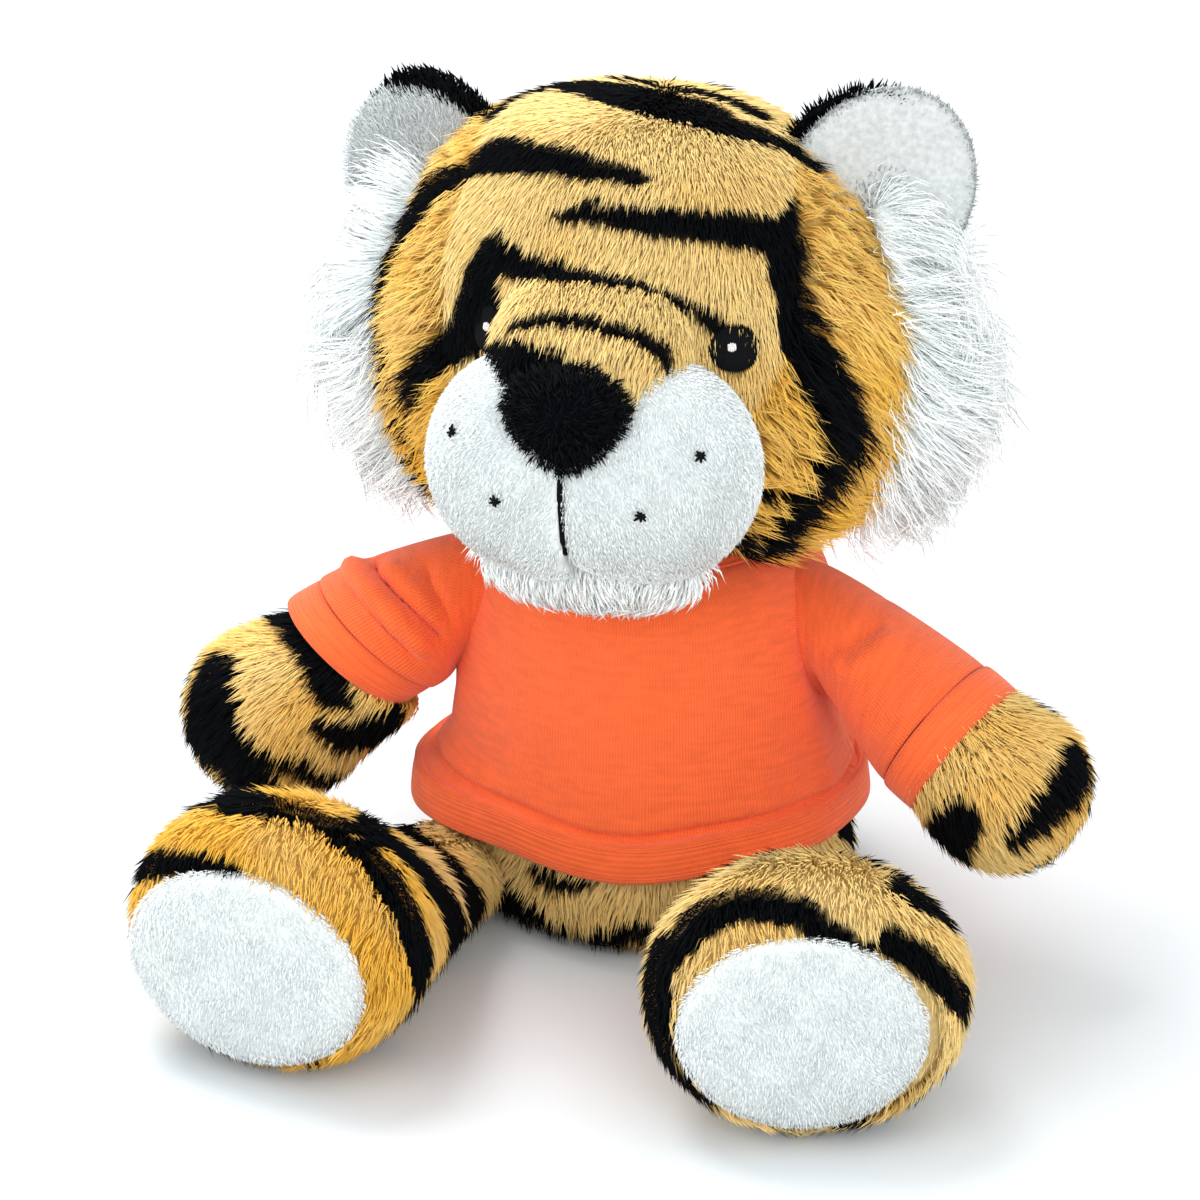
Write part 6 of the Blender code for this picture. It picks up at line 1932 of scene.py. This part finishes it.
def make_stage():
    chosen = bpy.context.scene.plush_tiger_stage
    scene = bpy.context.scene
    data = bpy.data.cameras.new("camera")
    data.sensor_width = SENSOR
    data.lens = SENSOR * CAMERA_FOCUS / PIXELS
    data.shift_x = CAMERA_SHIFT[0] / PIXELS
    data.shift_y = CAMERA_SHIFT[1] / PIXELS
    camera = place_object("camera", data)
    turn = Matrix(camera_axes()).transposed().to_4x4()
    turn.translation = CAMERA_TARGET + camera_axes()[2] * CAMERA_DISTANCE
    camera.matrix_world = turn
    scene.camera = camera
    scene.view_settings.view_transform = "Standard"

    board, tree, shader = new_material("matt white studio board", Roughness=0.9)
    colours = {"A_Color": linear("#D9D9D9"), "B_Color": linear("#E2E8EB")}
    tone = add(tree, "ShaderNodeMix", {"Factor_Float": seen_directly(tree), **colours}, data_type="RGBA")
    tree.links.new(next(s for s in tone.outputs if s.identifier == "Result_Color"), shader.inputs["Base Color"])
    corners = [(x * FLOOR_REACH, y * FLOOR_REACH, 0) for x, y in ((-1, -1), (1, -1), (1, 1), (-1, 1))]
    floor = mesh_object("floor", corners, [(0, 1, 2, 3)], board)
    if floor.data.polygons[0].normal.z < 0:
        floor.data.flip_normals()

    world = bpy.data.worlds.new("white studio")
    world.use_nodes = True
    tree = world.node_tree
    tree.nodes.clear()
    levels = {"Value": seen_directly(tree), "To Min": chosen.world_light, "To Max": 1.0}
    power = add(tree, "ShaderNodeMapRange", levels)
    light = add(tree, "ShaderNodeBackground", {"Color": (1.0, 1.0, 1.0, 1.0), "Strength": power})
    add(tree, "ShaderNodeOutputWorld", {"Surface": light})
    scene.world = world
    for name, place, size, watts in (
        ("key lamp", (-0.4, 0.2, 1.0), 0.5, chosen.key_light),
        ("left fill lamp", (-0.7, -0.95, 0.5), 0.8, chosen.fill_light),
        ("right fill lamp", (0.7, -0.95, 0.5), 0.8, chosen.fill_light),
    ):
        lamp = bpy.data.lights.new(name, "AREA")
        lamp.energy = watts
        lamp.size = size
        way = (LIT_PLACE - Vector(place)).to_track_quat("-Z", "Y")
        place_object(name, lamp).matrix_world = Matrix.Translation(place) @ way.to_matrix().to_4x4()


# Operators


def operator(suffix, label, doc, work):
    """An operator class for one group of pieces."""

    def execute(self, context):
        work()
        return {"FINISHED"}

    names = {"bl_idname": "plush_tiger." + suffix, "bl_label": label, "__doc__": doc, "execute": execute}
    return type("PLUSH_TIGER_OT_" + suffix, (bpy.types.Operator,), names)


STEPS = (
    ("stage", "Stage", "Makes the floor, lamps and camera", make_stage),
    ("torso", "Torso", "Makes the stuffed torso and its pile", make_torso),
    ("head", "Head", "Makes the stuffed head, its bridge and their pile", make_head),
    ("muzzle", "Muzzle", "Makes the velour muzzle, nose and chin", make_muzzle),
    ("embroidery", "Embroidery", "Makes the eyes, mouth and whisker dots", make_embroidery),
    ("ears", "Ears", "Makes the ears", make_ears),
    ("ruffs", "Ruffs", "Makes the long white pile at the sides of the head", make_ruffs),
    ("arms", "Arms", "Makes the arms", make_arms),
    ("legs", "Legs", "Makes the legs and soles", make_legs),
    ("tail", "Tail", "Makes the tail", make_tail),
    ("shirt", "T-shirt", "Makes the knitted shirt", make_shirt),
)
OPERATORS = [operator(*step) for step in STEPS]
SETTINGS = {
    "plush_tiger_plush": PlushSettings,
    "plush_tiger_shirt": ShirtSettings,
    "plush_tiger_stage": StageSettings,
}


class PLUSH_TIGER_PT_panel(bpy.types.Panel):
    """Lists the steps that dress the toy, with their settings."""

    bl_label = "Plush tiger"
    bl_idname = "PLUSH_TIGER_PT_panel"
    bl_space_type = "VIEW_3D"
    bl_region_type = "UI"
    bl_category = "Plush tiger"

    def draw(self, context):
        for group, kind in SETTINGS.items():
            for name in kind.__annotations__:
                self.layout.prop(getattr(context.scene, group), name)
        for suffix, *_ in STEPS:
            self.layout.operator("plush_tiger." + suffix)


CLASSES = [*SETTINGS.values(), *OPERATORS, PLUSH_TIGER_PT_panel]


def register():
    for kind in CLASSES:
        bpy.utils.register_class(kind)
    for group, kind in SETTINGS.items():
        setattr(bpy.types.Scene, group, bpy.props.PointerProperty(type=kind))


def unregister():
    for group in SETTINGS:
        delattr(bpy.types.Scene, group)
    for kind in reversed(CLASSES):
        bpy.utils.unregister_class(kind)


def main():
    register()
    for suffix, *_ in STEPS:
        getattr(bpy.ops.plush_tiger, suffix)()


if __name__ == "__main__":
    main()
